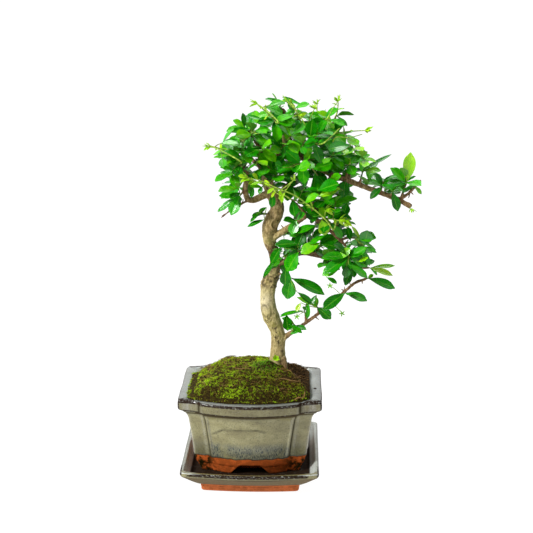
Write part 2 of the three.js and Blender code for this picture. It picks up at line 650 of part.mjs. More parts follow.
// The leaf whose tip is given, on one of its tries
function placedLeaf(stem, [x, y, z, width], leafIndex, attempt) {
  const base = stem.getPoint(1 - HAND_SPACING * leafIndex);
  const tip = vector(x, y + TRY_NUDGE * sideStep(attempt), z);
  return { base, tip, up: vector(...HAND_UP), width };
}

// What is already there, to keep new leaves clear of it
const placed = [];

function remember(shape) {
  placed.push({ shape, box: shape.boundingBox() });
}

function boxesMeet(a, b) {
  return [0, 1, 2].every((i) => a.min[i] <= b.max[i] && b.min[i] <= a.max[i]);
}

function isFree(shape, list) {
  const box = shape.boundingBox();
  return list.every((other) => !boxesMeet(box, other.box) || shape.intersect(other.shape).isEmpty());
}

// The first try that stands clear of everything but its own stem, or nothing
function fitLeaf(makeLeaf, shapeLeaf, obstacles, neighbours) {
  for (let attempt = 0; attempt < LEAF_TRIES; attempt += 1) {
    const leaf = makeLeaf(attempt);
    const clear = isFree(shapeLeaf(leaf, BLADE_CLEARANCE), obstacles)
      && isFree(shapeLeaf(leaf, BLADE_CLEARANCE, BLADE_ROOT), neighbours);
    if (clear) return shapeLeaf(leaf);
  }
  return null;
}

function growSpray({ shoots, stems }, sprayIndex, ownStems, otherThings) {
  const leaves = [];
  shoots.forEach((shoot, shootIndex) => {
    const [, , , count, longest, ...byHand] = shoot;
    const stem = stems[shootIndex];
    const shapeLeaf = longest < PALE_LENGTH ? kite : blade;
    const others = ownStems.filter((_, i) => i !== shootIndex);
    const makers = byHand.map((row, i) => (attempt) => placedLeaf(stem, row, i, attempt));
    for (let i = 0; i < count; i += 1) {
      makers.push((attempt) => ruledLeaf(stem, sprayIndex, shootIndex, shoot, i, attempt));
    }
    for (const makeLeaf of makers) {
      const leaf = fitLeaf(makeLeaf, shapeLeaf, otherThings, [...others, ...leaves]);
      if (leaf) leaves.push({ shape: leaf, box: leaf.boundingBox() });
    }
  });
  return leaves;
}

// The tree

const sprays = SPRAYS.map(([branch, share, shoots]) => (
  { branch, shoots, ...sprayPaths(branch, share, shoots) }
));
const twigSolids = sprays.map(({ path, cut }) => (
  taperedTube(path, cut, TWIG_RADII, TWIG_STEPS, TWIG_SIDES)
));
const woodSolids = [...makeLimbs(), ...twigSolids];
woodSolids.forEach(remember);

const stemSolids = sprays.map(({ shoots, stems }) => shoots.map(([, , , , longest], i) => {
  const radii = longest < PALE_LENGTH ? STEM_RADII.pale : STEM_RADII.leafy;
  const shape = taperedTube(stems[i], 1, radii, STEM_STEPS, STEM_SIDES);
  return { shape, box: shape.boundingBox() };
}));

const LEAF_GREENS = [0x1c8a1e, 0x2a9a26, 0x14701a];
const soil = makeSoil();
addPart("saucer", makeSaucer(), 0x8d8b74, 0.25);
addPart("pot", makePot(), 0x86846c, 0.25);
addPart("drain_mesh", makeDrainMesh(), 0x2c2c2c, 0.6);
addPart("soil", soil, 0x3a2a1c, 0.95);
addPart("moss", makeMoss(soil), 0x6f9a24, 0.95);
addPart("trunk_and_branches", whole(wasm.Manifold.union(woodSolids)), 0x8f8062, 0.8);

sprays.forEach((spray, index) => {
  const own = stemSolids[index];
  const elsewhere = stemSolids.filter((_, i) => i !== index).flat();
  const leaves = growSpray(spray, index, own, [...placed, ...elsewhere]);
  const shape = whole(wasm.Manifold.union([...own, ...leaves].map((piece) => piece.shape)));
  remember(shape);
  const number = String(index + 1).padStart(2, "0");
  addPart(`spray_${number}_${spray.branch}`, shape, LEAF_GREENS[index % LEAF_GREENS.length], 0.35);
});

export default group;
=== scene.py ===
"""A fukien tea bonsai in a glazed, bowed rectangular pot on its saucer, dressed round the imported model.

Tables and mesh code are in millimetres in the model's frame: +Z up, the front faces -Y. make_piece
turns them into metres.
"""
import math

import bpy
import numpy as np
from mathutils.kdtree import KDTree
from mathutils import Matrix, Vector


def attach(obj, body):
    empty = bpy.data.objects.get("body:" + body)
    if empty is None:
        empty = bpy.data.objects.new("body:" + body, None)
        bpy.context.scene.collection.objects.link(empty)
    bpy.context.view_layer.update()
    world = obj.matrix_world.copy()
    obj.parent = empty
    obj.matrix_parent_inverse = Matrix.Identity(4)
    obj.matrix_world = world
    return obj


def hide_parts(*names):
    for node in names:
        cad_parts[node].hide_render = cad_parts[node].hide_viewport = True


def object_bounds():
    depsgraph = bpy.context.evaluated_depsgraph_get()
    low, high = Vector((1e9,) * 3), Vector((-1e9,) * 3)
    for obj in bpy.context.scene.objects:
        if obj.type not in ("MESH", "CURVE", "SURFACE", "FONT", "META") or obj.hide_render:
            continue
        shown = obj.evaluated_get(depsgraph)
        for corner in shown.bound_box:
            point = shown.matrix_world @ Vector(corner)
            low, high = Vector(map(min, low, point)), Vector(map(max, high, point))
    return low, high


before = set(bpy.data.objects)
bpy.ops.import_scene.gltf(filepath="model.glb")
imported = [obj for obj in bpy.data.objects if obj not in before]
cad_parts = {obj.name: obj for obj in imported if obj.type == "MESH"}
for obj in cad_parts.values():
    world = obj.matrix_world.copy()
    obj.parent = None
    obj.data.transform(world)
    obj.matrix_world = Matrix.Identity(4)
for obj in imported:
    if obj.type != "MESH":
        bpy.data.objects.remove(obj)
cad_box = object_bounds()

MM = 0.001
UP = np.array([0.0, 0.0, 1.0])
# Play between pieces, and between a twig and the stems that go on from it
GAP = 0.3

# Saucer: height, half width, corner depth and middle depth of each outline, and the round there
SAUCER_CORNER = 5
SAUCER_LEVELS = [
    [0, 51.5, 54.3, 57.3, 0.8], [8.5, 53, 55.5, 58.5, 0.3], [9, 56, 58, 62, 0.5], [13, 61, 62.5, 68, 1.5],
    [21.3, 71.6, 69.1, 77.1, 0.6], [23, 72.5, 70, 78, 0.8], [27, 72.2, 69.7, 77.7, 1.2],
    [26.6, 68.5, 66, 74, 1.0], [23, 66.5, 64, 72, 1.5], [17, 61, 60, 67, 2.0],
]
SAUCER_FLOOR = 17
SAUCER_LIMIT = np.array([72.5, 78, 27])
FOOT_GROOVES = [3.2, 5.8]

# Pot: height, ear half width, ear depth, panel half width, panel end depth, panel middle depth, round
POT_LEVELS = [
    [SAUCER_FLOOR, 52.5, 40, 38.5, 43, 52, 1.0], [30, 57.5, 43.5, 40, 47, 55.5, 4],
    [37, 59.5, 44.5, 40.5, 48.6, 57, 1], [55, 61, 46, 42.5, 51, 59.5, 4], [80, 64.5, 49, 46, 54.5, 63.5, 2],
    [85.5, 67, 50.5, 48, 57, 65.5, 1.5], [89, 75, 52.5, 51.5, 60.5, 70, 1.2],
    [98.8, 75, 52.5, 51.5, 60.5, 70, 0.8], [100, 73.8, 51.5, 50.8, 59.5, 68.8, 0.8],
]
RIM_TOP = 100
POT_EAR_ROUND = 3
POT_SIDE_RIDGE = 30
POT_FLOOR = 33
CAVITY_CORNER = 7
CAVITY_LEVELS = [[POT_FLOOR, 50, 40, 48], [86, 57, 44, 57], [RIM_TOP, 64.5, 47, 60.5]]
# The dressed inside: the same with a round at each level, and a rounded edge at the rim
INNER_LEVELS = [
    [*CAVITY_LEVELS[0], 2.0], [*CAVITY_LEVELS[1], 4], [98.6, 64, 46.6, 60.1, 1.2],
    [RIM_TOP, 65.5, 47.8, 61.3, 1],
]
FOOT_RECESS = 2.5
POT_FOOT_GROOVE = 25.7
FOOT_GATE = {"bottom": 42, "top": 20, "height": 11.5}
FOOT_WIDTH = 11
DRAIN_RADIUS = 9
MESH_PLATE = {"side": 36, "thickness": 1, "pitch": 3, "bar": 0.9}

# Where the pot's and the saucer's glaze end, and the lower edge of the pot's rim band
GLAZE_EDGE = 35.2
SAUCER_GLAZE_EDGE = 8.9
RIM_BAND = 87.2
# The blue wash: how far over the glaze's edge it starts and is full, and where it ends beside the panel
WASH = {"top": 21, "full": 12, "side": 38, "fade": 6}
# The brown stain low on the ears: where it starts and is full to the side, and going down
EAR_STAIN = {"side": (42, 50), "height": (64, 44)}

# Ridges on the pot's front and back, a line scratched in the front panel, and a clod of soil on the rim
RIDGE = {"height": 1.3, "width": 1.1, "low": 36, "high": 83}
PANEL_LINE = [(-38, 64), (-27.5, 69.8), (-10, 70.3), (7.8, 70.7), (16, 68)]
RIM_CLOD = {"place": (67.8, -14.8), "size": (1.9, 1.7, 0.9)}

# Ground: the mound of soil, and the moss on all but the bearings between BARE_FROM and BARE_TO
TRUNK_FOOT = {"x": 27, "y": 8, "radius": 7.2, "bottom": 70.3}
TRUNK_PLACE = np.array([TRUNK_FOOT["x"], TRUNK_FOOT["y"]])
# The trunk's post in the soil: heights and radii
POST_HEIGHTS = (TRUNK_FOOT["bottom"], 100, 118, 124)
POST_RADII = (TRUNK_FOOT["radius"], TRUNK_FOOT["radius"], 7.6, 8.0)
SOIL_EDGE = 96.5
SOIL_RISE = 21
SOIL_FALL_LENGTH = 18
BARE_FROM = -50
BARE_TO = 85
MOSS_THICKNESS = 3.2
# How far moss creeps over the rim at the front and on the left, and where that starts and ends
MOSS_OVERHANG = {
    "front": 4.6, "front_from": -30, "front_to": 62, "left": 5.0, "left_from": -50, "left_to": 30,
}
# The moss's edge on the rim, row by row: share of its reach, and height over the rim
MOSS_LIP = [(1.0, 0.15), (0.85, 0.8), (0.3, 1.5)]
# The fresh green moss beside the trunk
FRESH_MOSS = {"middle": (14, -2, 122), "reach": 20}
# Where the mound is lower, at the back left, a clod beside that, and moss that climbs the trunk
HOLLOW = {"middle": (-50, 42), "reach": (20, 17), "height": -6, "power": 2}
RAISED_CLOD = {"middle": (-26, 42), "reach": (7, 6), "height": 2.6, "power": 4}
MOSS_CLIMB = {"middle": (18, 1), "reach": (7, 8), "height": 3.5, "power": 2}
# Bare soil banked against the rim on the right: where it starts, its slope, its height and its width
# as a share of the way to the trunk
SOIL_BANK = {"start": 30, "slope": 15, "height": 2.6, "width": 0.12}

# Wood: each row is x, y, z and the radius there
TRUNK = [
    [27, 8, 123, 8.3], [28, 8, 142, 7.4], [27, 6, 158, 7.4], [20, 3, 176, 8.8], [17, 2, 194, 7.8],
    [18, 3, 210, 7.6], [24, 6, 225, 6.0], [24, 6, 242, 5.7], [19, 3, 258, 6.6], [20, 0, 275, 8.5],
    [27, -1, 291, 7.5], [22, 3, 307, 6.8], [16, 5, 322, 5.5], [24, 4, 339, 4.6], [34, 2, 358, 3.9],
    [32, 1, 377, 2.8], [34, 0, 393, 1.8],
]
BRANCHES = {
    "low_right": [[29, 7, 146, 3.4], [47, 2, 160, 2.1], [69, -8, 180, 1.8], [90, -13, 200, 1.7],
                  [107, -14, 216, 1.6], [117, -13, 220, 1.6]],
    "mid_right": [[26, 5, 227, 3.8], [38, 0, 238, 3.0], [52, -5, 246, 2.7], [72, -10, 244, 2.4],
                  [98, -12, 237, 1.8], [118, -10, 232, 1.6]],
    "shoulder": [[20, 2, 259, 4.2], [38, -9, 273, 3.3], [54, -15, 286, 2.9], [67, -18, 296, 2.0]],
    "drooping": [[57, -16, 289, 2.4], [69, -20, 284, 2.1], [84, -26, 272, 1.8], [97, -28, 260, 1.5]],
    "long_right": [[26, 3, 342, 4.3], [41, -1, 350, 3.7], [58, -5, 343, 3.2], [78, -7, 331, 2.9],
                   [102, -8, 322, 2.9], [128, -6, 312, 2.7], [148, -5, 304, 2.6], [164, -5, 296, 2.4]],
    "end_twig": [[152, -5, 303, 2.0], [162, -7, 311, 1.5], [173, -8, 324, 1.1]],
    "left_low": [[19, 3, 308, 4.2], [0, -3, 301, 3.2], [-6, -5, 312, 3.0], [-4, -6, 329, 2.6],
                 [-14, -6, 344, 1.7]],
    "left_twig": [[-1, -3, 302, 1.6], [-13, -7, 296, 1.1], [-30, -8, 285, 0.8]],
    "left_up": [[17, 5, 325, 3.4], [12, 4, 344, 2.8], [6, 0, 360, 2.3], [-1, -2, 370, 1.8]],
    "up_right": [[34, 2, 358, 3.3], [50, 6, 360, 2.8], [62, 8, 357, 2.5], [72, 8, 371, 2.0],
                 [83, 8, 377, 1.6]],
    "back_high": [[33, 3, 352, 3.2], [40, 18, 362, 2.6], [46, 34, 366, 2.0], [49, 42, 369, 1.6]],
    "back_middle": [[24, 2, 298, 3.2], [36, 16, 312, 2.6], [50, 30, 318, 2.0], [56, 38, 323, 1.6]],
    "back_left": [[17, 5, 320, 3.0], [8, 20, 332, 2.4], [-2, 32, 339, 1.8]],
}
LIMBS = {"trunk": TRUNK, **BRANCHES}

# Sprays, as in the model: a branch, the share along it where a twig leaves, then a row for each
# shoot: the end of its stem, how many leaves the rule sets round it, their length, and the tip and
# width of every leaf listed one by one. Shorter leaves than PALE_LENGTH make a young, pale shoot.
PALE_LENGTH = 14
SPRAYS = [
    ["trunk", 1, [[32, 0, 401, 4, 19], [20, -8, 392, 3, 20]]],
    ["trunk", 0.95, [[48, -6, 391, 4, 19], [38, 20, 384, 3, 21]]],
    ["trunk", 0.92, [[27, -22, 382, 4, 23], [7, -26, 403, 4, 9]]],
    ["left_up", 1, [[-6, -8, 377, 3, 21, [-7, -14, 392, 6], [-24, -14, 375, 9]]]],
    ["left_up", 0.8, [[6, -26, 376, 4, 22], [-9, -18, 363, 3, 22]]],
    ["left_up", 0.45, [[12, -30, 360, 4, 24]]],
    ["left_up", 0.6, [[0, 26, 361, 4, 22]]],
    ["left_low", 1, [[-19, -14, 353, 2, 21, [-14, -22, 370, 12]], [-40, -20, 360, 5, 8]]],
    ["left_low", 0.85, [[-12, -16, 341, 3, 21, [-31, -18, 342, 8], [-28, -14, 329, 8]]]],
    ["left_low", 0.5, [[-11, -10, 307, 1, 18, [-32, -14, 309, 10], [-36, -10, 291, 7],
                        [-20, -16, 289, 13]]]],
    ["left_low", 0.7, [[-2, 22, 324, 4, 22]]],
    ["trunk", 0.7, [[18, -26, 341, 4, 23], [34, -30, 332, 3, 22]]],
    ["trunk", 0.8, [[32, -26, 358, 3, 23], [42, -30, 373, 4, 23]]],
    ["trunk", 0.6, [[8, -8, 287, 2, 17]]],
    ["up_right", 1, [[90, 8, 384, 3, 21], [88, 2, 403, 3, 8]]],
    ["up_right", 0.8, [[74, -8, 388, 4, 22]]],
    ["up_right", 0.6, [[82, -12, 371, 4, 22], [116, -6, 374, 4, 11]]],
    ["up_right", 0.35, [[58, -22, 378, 4, 24], [41, -20, 403, 4, 9]]],
    ["up_right", 0.2, [[52, -34, 362, 3, 22], [66, -28, 364, 3, 24]]],
    ["up_right", 0.7, [[66, 30, 373, 4, 22], [67, 16, 398, 3, 9]]],
    ["long_right", 0.2, [[48, -36, 344, 4, 24], [64, -28, 348, 3, 22], [68, -30, 332, 3, 22]]],
    ["long_right", 0.38, [[85, -22, 353, 4, 25]]],
    ["long_right", 0.45, [[78, -30, 322, 4, 23]]],
    ["long_right", 0.54, [[96, -16, 340, 4, 21], [108, -12, 357, 4, 10]]],
    ["long_right", 0.62, [[114, -10, 334, 3, 21, [143, 0, 351, 5], [131, -20, 337, 8],
                           [130, -6, 342, 7]]]],
    ["long_right", 0.74, [[134, -10, 318, 2, 19, [127, -16, 332, 8], [121, -16, 306, 8]]]],
    ["long_right", 0.83, [[144, -9, 312, 2, 16, [151, -14, 293, 10]]]],
    ["long_right", 0.9, [[159, -6, 322, 1, 14, [162, -10, 352, 13], [138, -14, 323, 8],
                          [138, -8, 314, 7]]]],
    ["end_twig", 0.5, [[166, -12, 319, 0, 14, [153, -16, 313, 5], [174, -14, 311, 5],
                        [177, -4, 317, 5]]]],
    ["long_right", 0.3, [[73, 32, 348, 3, 22]]],
    ["long_right", 0.56, [[102, 24, 334, 3, 22]]],
    ["shoulder", 1, [[75, -24, 305, 4, 22], [85, -8, 309, 3, 22]]],
    ["shoulder", 0.75, [[53, -34, 305, 4, 22], [4, -44, 330, 5, 13]]],
    ["shoulder", 0.45, [[47, -26, 286, 2, 21, [42, -32, 272, 11]]]],
    ["shoulder", 0.85, [[69, 20, 307, 3, 22]]],
    ["drooping", 0.35, [[72, -36, 292, 4, 22], [96, -42, 287, 4, 9]]],
    ["drooping", 0.65, [[93, -22, 286, 3, 22]]],
    ["drooping", 0.85, [[108, -20, 266, 1, 18, [127, -30, 270, 14], [130, -18, 254, 5]]]],
    ["drooping", 1, [[100, -34, 250, 2, 21, [75, -44, 236, 13], [75, -42, 253, 11],
                      [86, -44, 266, 12], [116, -38, 259, 11], [120, -36, 241, 12]]]],
    ["mid_right", 1, [[123, -11, 232, 1, 17, [147, -16, 227, 8], [150, -8, 235, 5],
                       [102, -22, 243, 12]]]],
    ["mid_right", 0.78, [[104, -22, 236, 2, 20, [97, -32, 219, 9]]]],
    ["mid_right", 0.55, [[72, -18, 257, 2, 20, [51, -26, 255, 13], [92, -20, 268, 10]]]],
    ["mid_right", 0.25, [[49, -16, 255, 2, 20, [27, -24, 262, 9], [38, -26, 235, 12]]]],
    ["mid_right", 0.4, [[64, 16, 256, 3, 21]]],
    ["low_right", 1, [[121, -15, 222, 1, 14, [150, -18, 214, 11]]]],
    ["low_right", 0.68, [[98, -18, 207, 1, 12, [74, -32, 194, 13], [121, -22, 201, 11]]]],
    ["low_right", 0.42, [[69, -13, 190, 1, 14, [49, -18, 203, 6], [84, -20, 180, 12]]]],
    ["low_right", 0.3, [[56, -4, 183, 1, 13, [31, -12, 182, 5], [63, -2, 196, 5]]]],
    ["low_right", 0.16, [[46, -3, 167, 0, 14, [33, -6, 176, 8], [38, -14, 166, 6],
                          [58, -10, 165, 6]]]],
    ["trunk", 0.36, [[42, -6, 219, 0, 20, [77, -18, 207, 14], [38, -16, 199, 15],
                      [31, -12, 234, 11]]]],
    ["back_high", 1, [[52, 50, 380, 4, 22], [30, 50, 368, 3, 22]]],
    ["back_middle", 1, [[62, 46, 334, 3, 22], [44, 46, 318, 3, 22]]],
    ["back_left", 1, [[-8, 40, 350, 4, 22], [-20, 24, 342, 2, 21]]],
]

# Twigs and stems, as in the model
TWIG_ARCH = 0.12
TWIG_SHARES = (0.5, 0.85)
TWIG_CLEARANCE = 2.5
TWIG_RADII = (1.6, 1.15)
STEM_BEND = 0.4
STEM_RADII = {"leafy": (0.95, 0.6), "pale": (0.9, 0.5)}

# The model's rule for leaves. HALF_LEAF is half the thickness of a dressed leaf.
BLADE_HALF_THICKNESS = 0.35
HALF_LEAF = 0.16
BLADE_FOLD = 0.16
BLADE_ARCH = 0.1
LEAF_SPACING = 3.4
PALE_SPREAD = 0.8
LOWEST_LEAF = 0.2
LEAF_TURN = 137.5
LEAF_LEAN = [30, 56, 68, 76, 82]
LEAN_SPREAD = 12
LEAST_LENGTH = 0.78
TIP_LEAF = 0.85
LEAF_WIDTH = {"least": 0.5, "spread": 0.12, "pale": 0.36}
LEAF_UP = {"stem": 0.6, "sky": (0, -0.3, 0.75)}
HAND_SPACING = 0.08
HAND_UP = (0.1, -0.6, 0.75)
LEAF_TRIES = 9
TRY_TURN = 24
TRY_SHRINK = 0.03
TRY_NUDGE = 2.5
# How near a corner of the model's solid has to be to a leaf's tip to show that the leaf is there
TIP_MATCH = 0.15

# Moss: how many tufts are tried on the mound and at the rim, and the leaves of each
MOSS_TUFTS = {"mound": 7400, "rim": 1000, "leaves": 6}
# Brighter and duller moss: x, y, half width, half depth and how much greener
MOSS_SPOTS = [
    (-16, -50, 13, 7, 0.7), (14, 6, 15, 12, 0.5), (-48, -30, 9, 9, 0.2), (4, 20, 16, 10, 0.12),
    (56, -46, 6, 6, 0.4), (44, -30, 20, 14, -0.34), (-30, 34, 20, 9, -0.22), (2, -34, 26, 7, -0.12),
]
# Dead stalks and roots, and clods and bits of bark, that are tried on the mound
FIBRES = 480
CRUMBS = 1500
# Twigs and a husk lying on the mound: start, bend and end, and thickness
FALLEN = [
    (((46, -52, 0), (56, -52, 0), (57, -42, 0)), 0.9), (((30, -30, 0), (40, -34, 0), (52, -30, 0)), 0.55),
    (((44, 6, 0), (50, -2, 0), (54, -12, 0)), 0.6), (((-46, 20, 0), (-44, 8, 0), (-48, -2, 0)), 0.45),
    (((34, -16, 0), (42, -14, 0), (52, -18, 0)), 0.45), (((-20, -8, 0), (-12, -14, 0), (0, -14, 0)), 0.4),
]

# Bark: the size of the mesh's cells
WOOD_VOXEL = 0.67
# Marks on the trunk: middle, size, height, and "knot" for a lump or "scar" for a healed ring
MARKS = [
    ("scar", (14, -5, 182), 5.4, 1.0), ("scar", (19, -7, 176), 3.0, 0.5), ("knot", (11, -3, 209), 3.2, 1.1),
    ("knot", (22, -5, 211), 3.6, 1.2), ("knot", (24, 0, 206), 3.2, 0.8), ("knot", (14, -7, 268), 5.5, 0.9),
    ("scar", (24, -8, 277), 3.0, 0.8), ("knot", (27, -7, 296), 4, 0.9), ("knot", (33, 5, 147), 5, 1.0),
    ("knot", (21, 0, 132), 4.5, 0.8), ("knot", (34, 2, 127), 4.5, 1.3), ("scar", (27, -1, 150), 3.0, 0.5),
    ("knot", (10, -2, 262), 4, 0.8), ("knot", (20, -4, 312), 4.0, 0.8), ("knot", (26, 13, 214), 4, 1.0),
    ("scar", (18, 12, 262), 4, 0.7), ("knot", (30, 15, 134), 5, 0.9), ("knot", (162, -6, 297), 3.5, 0.8),
    ("knot", (152, -5, 303), 3.0, 0.7),
]
# The swollen collar with flaking bark, and the rough length above it, painted dark as the crown's shade
COLLAR = {"z": 216, "half": 9}
CROWN_SHADE_LENGTH = {"z": 237, "half": 14}
# Browner lengths: height, half length, and how brown
BROWN_ZONES = [(295, 38, 0.62), (243, 14, 0.8), (214, 7, 0.4), (137, 14, 0.4)]
# A root that runs down the trunk's foot, and the smooth pale patch: x, height and half its height
ROOT_TONGUE = [[33, 4, 128, 3.0], [35.5, 1, 121, 2.6], [37, -1.5, 115, 1.6]]
PALE_PATCH = (14, 193, 11)

# Leaves whose colour stands out: number of the spray, and of the leaf among those listed one by one there
LEAF_COLOURS = {(28, 0): 0.78, (40, 0): 0.84, (40, 1): 0.62, (34, 0): 0.3, (46, 0): 0.06, (46, 1): 0.28}
# Sprays whose shoots are short but not young
GREEN_SPRAYS = (45, 46, 47, 48, 49)

# Leaves that fill the crown. For each part: its outline seen from the front, as x and the height it
# would have at y = 0, then its middle depth, half depth and number of shoots
FILLS = [
    ([(-38, 349), (-34, 358), (-22, 372), (-9, 384), (0, 398), (14, 403), (28, 406), (40, 402), (64, 397),
      (84, 392), (97, 385), (97, 374), (112, 367), (108, 358), (120, 352), (137, 350), (136, 343),
      (110, 327), (106, 300), (93, 282), (72, 273), (50, 277), (42, 284), (35, 302), (26, 314), (9, 316),
      (2, 322), (-8, 305), (-6, 290), (-30, 293), (-32, 312), (-36, 332)], -2, 36, 118),
    ([(40, 276), (69, 282), (98, 284), (118, 279), (126, 270), (127, 256), (131, 244), (124, 226),
      (97, 222), (74, 227), (55, 241), (50, 236), (36, 214), (26, 231), (15, 228), (19, 250), (26, 262)],
     -8, 20, 16),
    ([(106, 343), (124, 344), (146, 338), (156, 334), (172, 318), (166, 303), (150, 301), (134, 306),
      (112, 311)], -4, 13, 10),
]
# Leaves set one by one on the right: x and z of base and tip, depth, width, place on the colour ramp
SET_LEAVES = [
    (48, 207, 65, 196, -16, 7, 0.05), (68, 204, 62, 195, -16, 5, 0.05), (60, 196, 59, 179, -17, 5, 0.3),
    (52, 196, 47, 188, -18, 5, 0.9), (49, 187, 30, 182, -16, 4, 0.3), (37, 180, 39, 163, -8, 10, 0.05),
    (40, 170, 54, 163, -12, 6, 0.3), (41, 158, 51, 165, -8, 5, 0.3), (95, 243, 73, 232, -34, 12, 0.5),
    (78, 227, 89, 222, -30, 6, 0.3), (98, 241, 97, 229, -36, 9, 0.05), (100, 243, 120, 231, -38, 9, 0.3),
    (110, 245, 119, 251, -36, 6, 0.7), (89, 247, 101, 260, -34, 9, 0.6), (93, 248, 72, 249, -30, 9, 0.3),
    (92, 257, 74, 263, -26, 11, 0.08), (91, 255, 103, 264, -28, 8, 0.05), (101, 249, 117, 262, -36, 9, 0.3),
    (116, 256, 122, 241, -32, 5, 0.3), (116, 260, 119, 276, -26, 14, 0.2), (112, 265, 104, 280, -24, 5, 0.85),
    (102, 264, 99, 279, -24, 8, 0.05), (82, 283, 94, 269, -30, 9, 0.35), (115, 258, 129, 253, -22, 5, 0.3),
    (72, 289, 76, 274, -38, 12, 0.75), (76, 290, 70, 301, -36, 11, 0.6), (79, 292, 103, 290, -30, 11, 0.1),
    (67, 281, 46, 275, -28, 9, 0.3), (52, 271, 40, 270, -24, 6, 0.3), (49, 261, 25, 262, -26, 11, 0.1),
    (71, 263, 51, 254, -30, 13, 0.55), (76, 271, 60, 263, -28, 6, 0.3), (49, 252, 37, 233, -26, 15, 0.3),
    (31, 256, 21, 240, -20, 10, 0.08), (27, 244, 12, 224, -18, 5, 0.08), (36, 233, 36, 215, -18, 12, 0.08),
    (68, 313, 89, 324, -44, 12, 0.7), (12, 318, 0, 321, -20, 6, 0.5), (3, 319, 1, 308, -20, 5, 0.1),
    (23, 312, 22, 298, -20, 7, 0.1), (12, 319, 9, 312, -20, 5, 0.3), (14, 289, 1, 287, -8, 6, 0.1),
    (14, 282, -4, 276, -8, 6, 0.15), (16, 295, 8, 290, -8, 5, 0.2), (-2, 333, -10, 336, -48, 5, 0.9),
    (9, 331, 4, 338, -48, 6, 0.85), (14, 329, 2, 327, -46, 4, 0.75), (25, 323, 18, 318, -46, 4, 0.8),
    (36, 318, 30, 312, -46, 4, 0.85), (30, 321, 32, 311, -46, 4, 0.8),
    (14, 386, -4, 392, -20, 5, 0.2), (1, 376, -20, 375, -14, 8, 0.05), (-13, 366, -29, 359, -14, 9, 0.15),
    (-18, 351, -37, 350, -20, 4, 0.5), (-14, 346, -28, 343, -20, 4, 0.45), (-7, 334, -28, 332, -16, 5, 0.3),
    (102, 361, 116, 355, -10, 4, 0.4), (107, 347, 120, 345, -10, 4, 0.3), (32, 402, 15, 407, -6, 5, 0.2),
    (36, 404, 52, 401, -6, 4, 0.3), (48, 401, 32, 408, 2, 4, 0.15), (10, 374, 25, 368, -30, 8, 0.1),
    (62, 391, 60, 374, -42, 12, 0.05), (99, 365, 77, 363, -46, 14, 0.08), (48, 341, 60, 348, -48, 15, 0.45),
    (68, 321, 88, 330, -50, 15, 0.2), (55, 308, 68, 318, -48, 10, 0.5), (33, 343, 26, 348, -46, 10, 0.2),
]
# How a fill shoot finds its place and grows: the step in from the outline that also has to be inside,
# how far a place at the back looks higher, tries for a place, reach from the wood, leaf lengths, their
# spacing on the stem, least distance between leaves, and the stem's radii
FILL_INSET = 8
VIEW_SLOPE = 0.27
FILL_TRIES = 18
FILL_REACH = 34
FILL_LENGTHS = (16, 26)
FILL_SPACING = 3
FILL_APART = 6.0
FILL_STEM = (0.55, 0.35)
# Room between filling leaves and the model's box, and round the young shoots and the long branch
MODEL_LIMIT = 1.0
CLEARANCE = 7

# Young shoots in front of the crown, with their radius at each point
YOUNG_SHOOTS = [
    [[84, -44, 280, 0.95], [77, -48, 290, 0.95], [65, -48, 301, 0.95], [46, -48, 315, 0.9],
     [26, -48, 323.5, 0.8], [12, -48, 330, 0.65], [-2, -48, 333, 0.5]],
    [[29, -46, 387.5, 0.9], [22, -40, 394, 0.85], [15, -33, 399, 0.75], [7, -26, 403, 0.55]],
    [[54, -44, 386.5, 0.85], [49, -38, 393.5, 0.8], [43, -30, 401, 0.7], [36, -20, 405.5, 0.5]],
    [[76, -30, 388.5, 0.7], [82, -20, 397.5, 0.65], [87.5, -8, 403.5, 0.5]],
    [[71, -46, 366.5, 0.9], [79, -46, 372.5, 0.85], [88.5, -46, 382, 0.6]],
    [[84, -32, 370, 0.8], [99, -24, 369.5, 0.7], [112, -12, 371, 0.55]],
    [[-8, -40, 347, 0.95], [-17, -36, 352, 0.9], [-33, -28, 358.5, 0.7], [-43, -20, 359, 0.5]],
    [[36, -44, 320, 0.6], [40, -48, 326, 0.55], [44, -48, 331, 0.4]],
]
# Tufts of young leaves: how many leaves, and their length where a stem of the model ends
BUD = {"leaves": 5, "length": 5.5}
# Further tufts: place, heading and length
YOUNG_TUFTS = [
    ((-2, -48, 333), (-1, 0, 0.4), 8), ((76, -42, 300), (0.9, -0.3, 0.1), 9),
    ((90, -44, 290), (1, 0, -0.1), 8), ((96, -42, 289), (0.8, -0.2, -0.6), 8),
    ((62, -46, 303), (-0.2, -0.4, 1), 7), ((32, -50, 315), (0, 0, -1), 7),
    ((64, -30, 399), (0, -0.2, 1), 6), ((44, -48, 331), (0.1, -0.4, 1), 6),
    ((-43, -20, 359), (-1, 0, 0.2), 7), ((7, -26, 403), (-0.7, 0, 0.5), 7),
    ((36, -20, 405), (-0.4, 0, 0.7), 6), ((49, -38, 393.5), (0.9, 0, 0.3), 7),
    ((87.5, -8, 403.5), (0.3, 0, 1), 6), ((164, -8, 294), (0.2, -0.3, -0.8), 6),
]
# Flowers: place, and whether it is open and white or a green cup
FLOWERS = [
    ((95, -15, 184), False), ((48, -15, 180), False), ((82, -15, 214), False), ((22, -20, 357), True),
    ((52, -30, 340), False),
]
# A seedling in the bark low on the trunk, and how many dead spurs sit on the branches
SEEDLING = {"height": 127, "side": (-0.15, -1, 0), "leaves": 8}
SPURS = 70

# Strength of the surroundings before and behind the tree, and each light's place in metres, size and
# power, and what they are aimed at
WORLD_FRONT = 0.15
WORLD_BACK = 1.0
LIGHTS = [
    ("key", (-1.5, -1.0, 1.4), 0.6, 54),
    ("top", (0.2, 0.5, 1.9), 1.0, 20),
]
LIGHT_AIM = (0.04, 0, 0.22)

# Camera, from the pot's four rim corners in the photo
CAMERA_PLACE = (50.5, -1167.8, 542.85)
CAMERA_PITCH = 15
CAMERA_TURN = 1.7
CAMERA_LENS = 78.04


# Numbers and curves

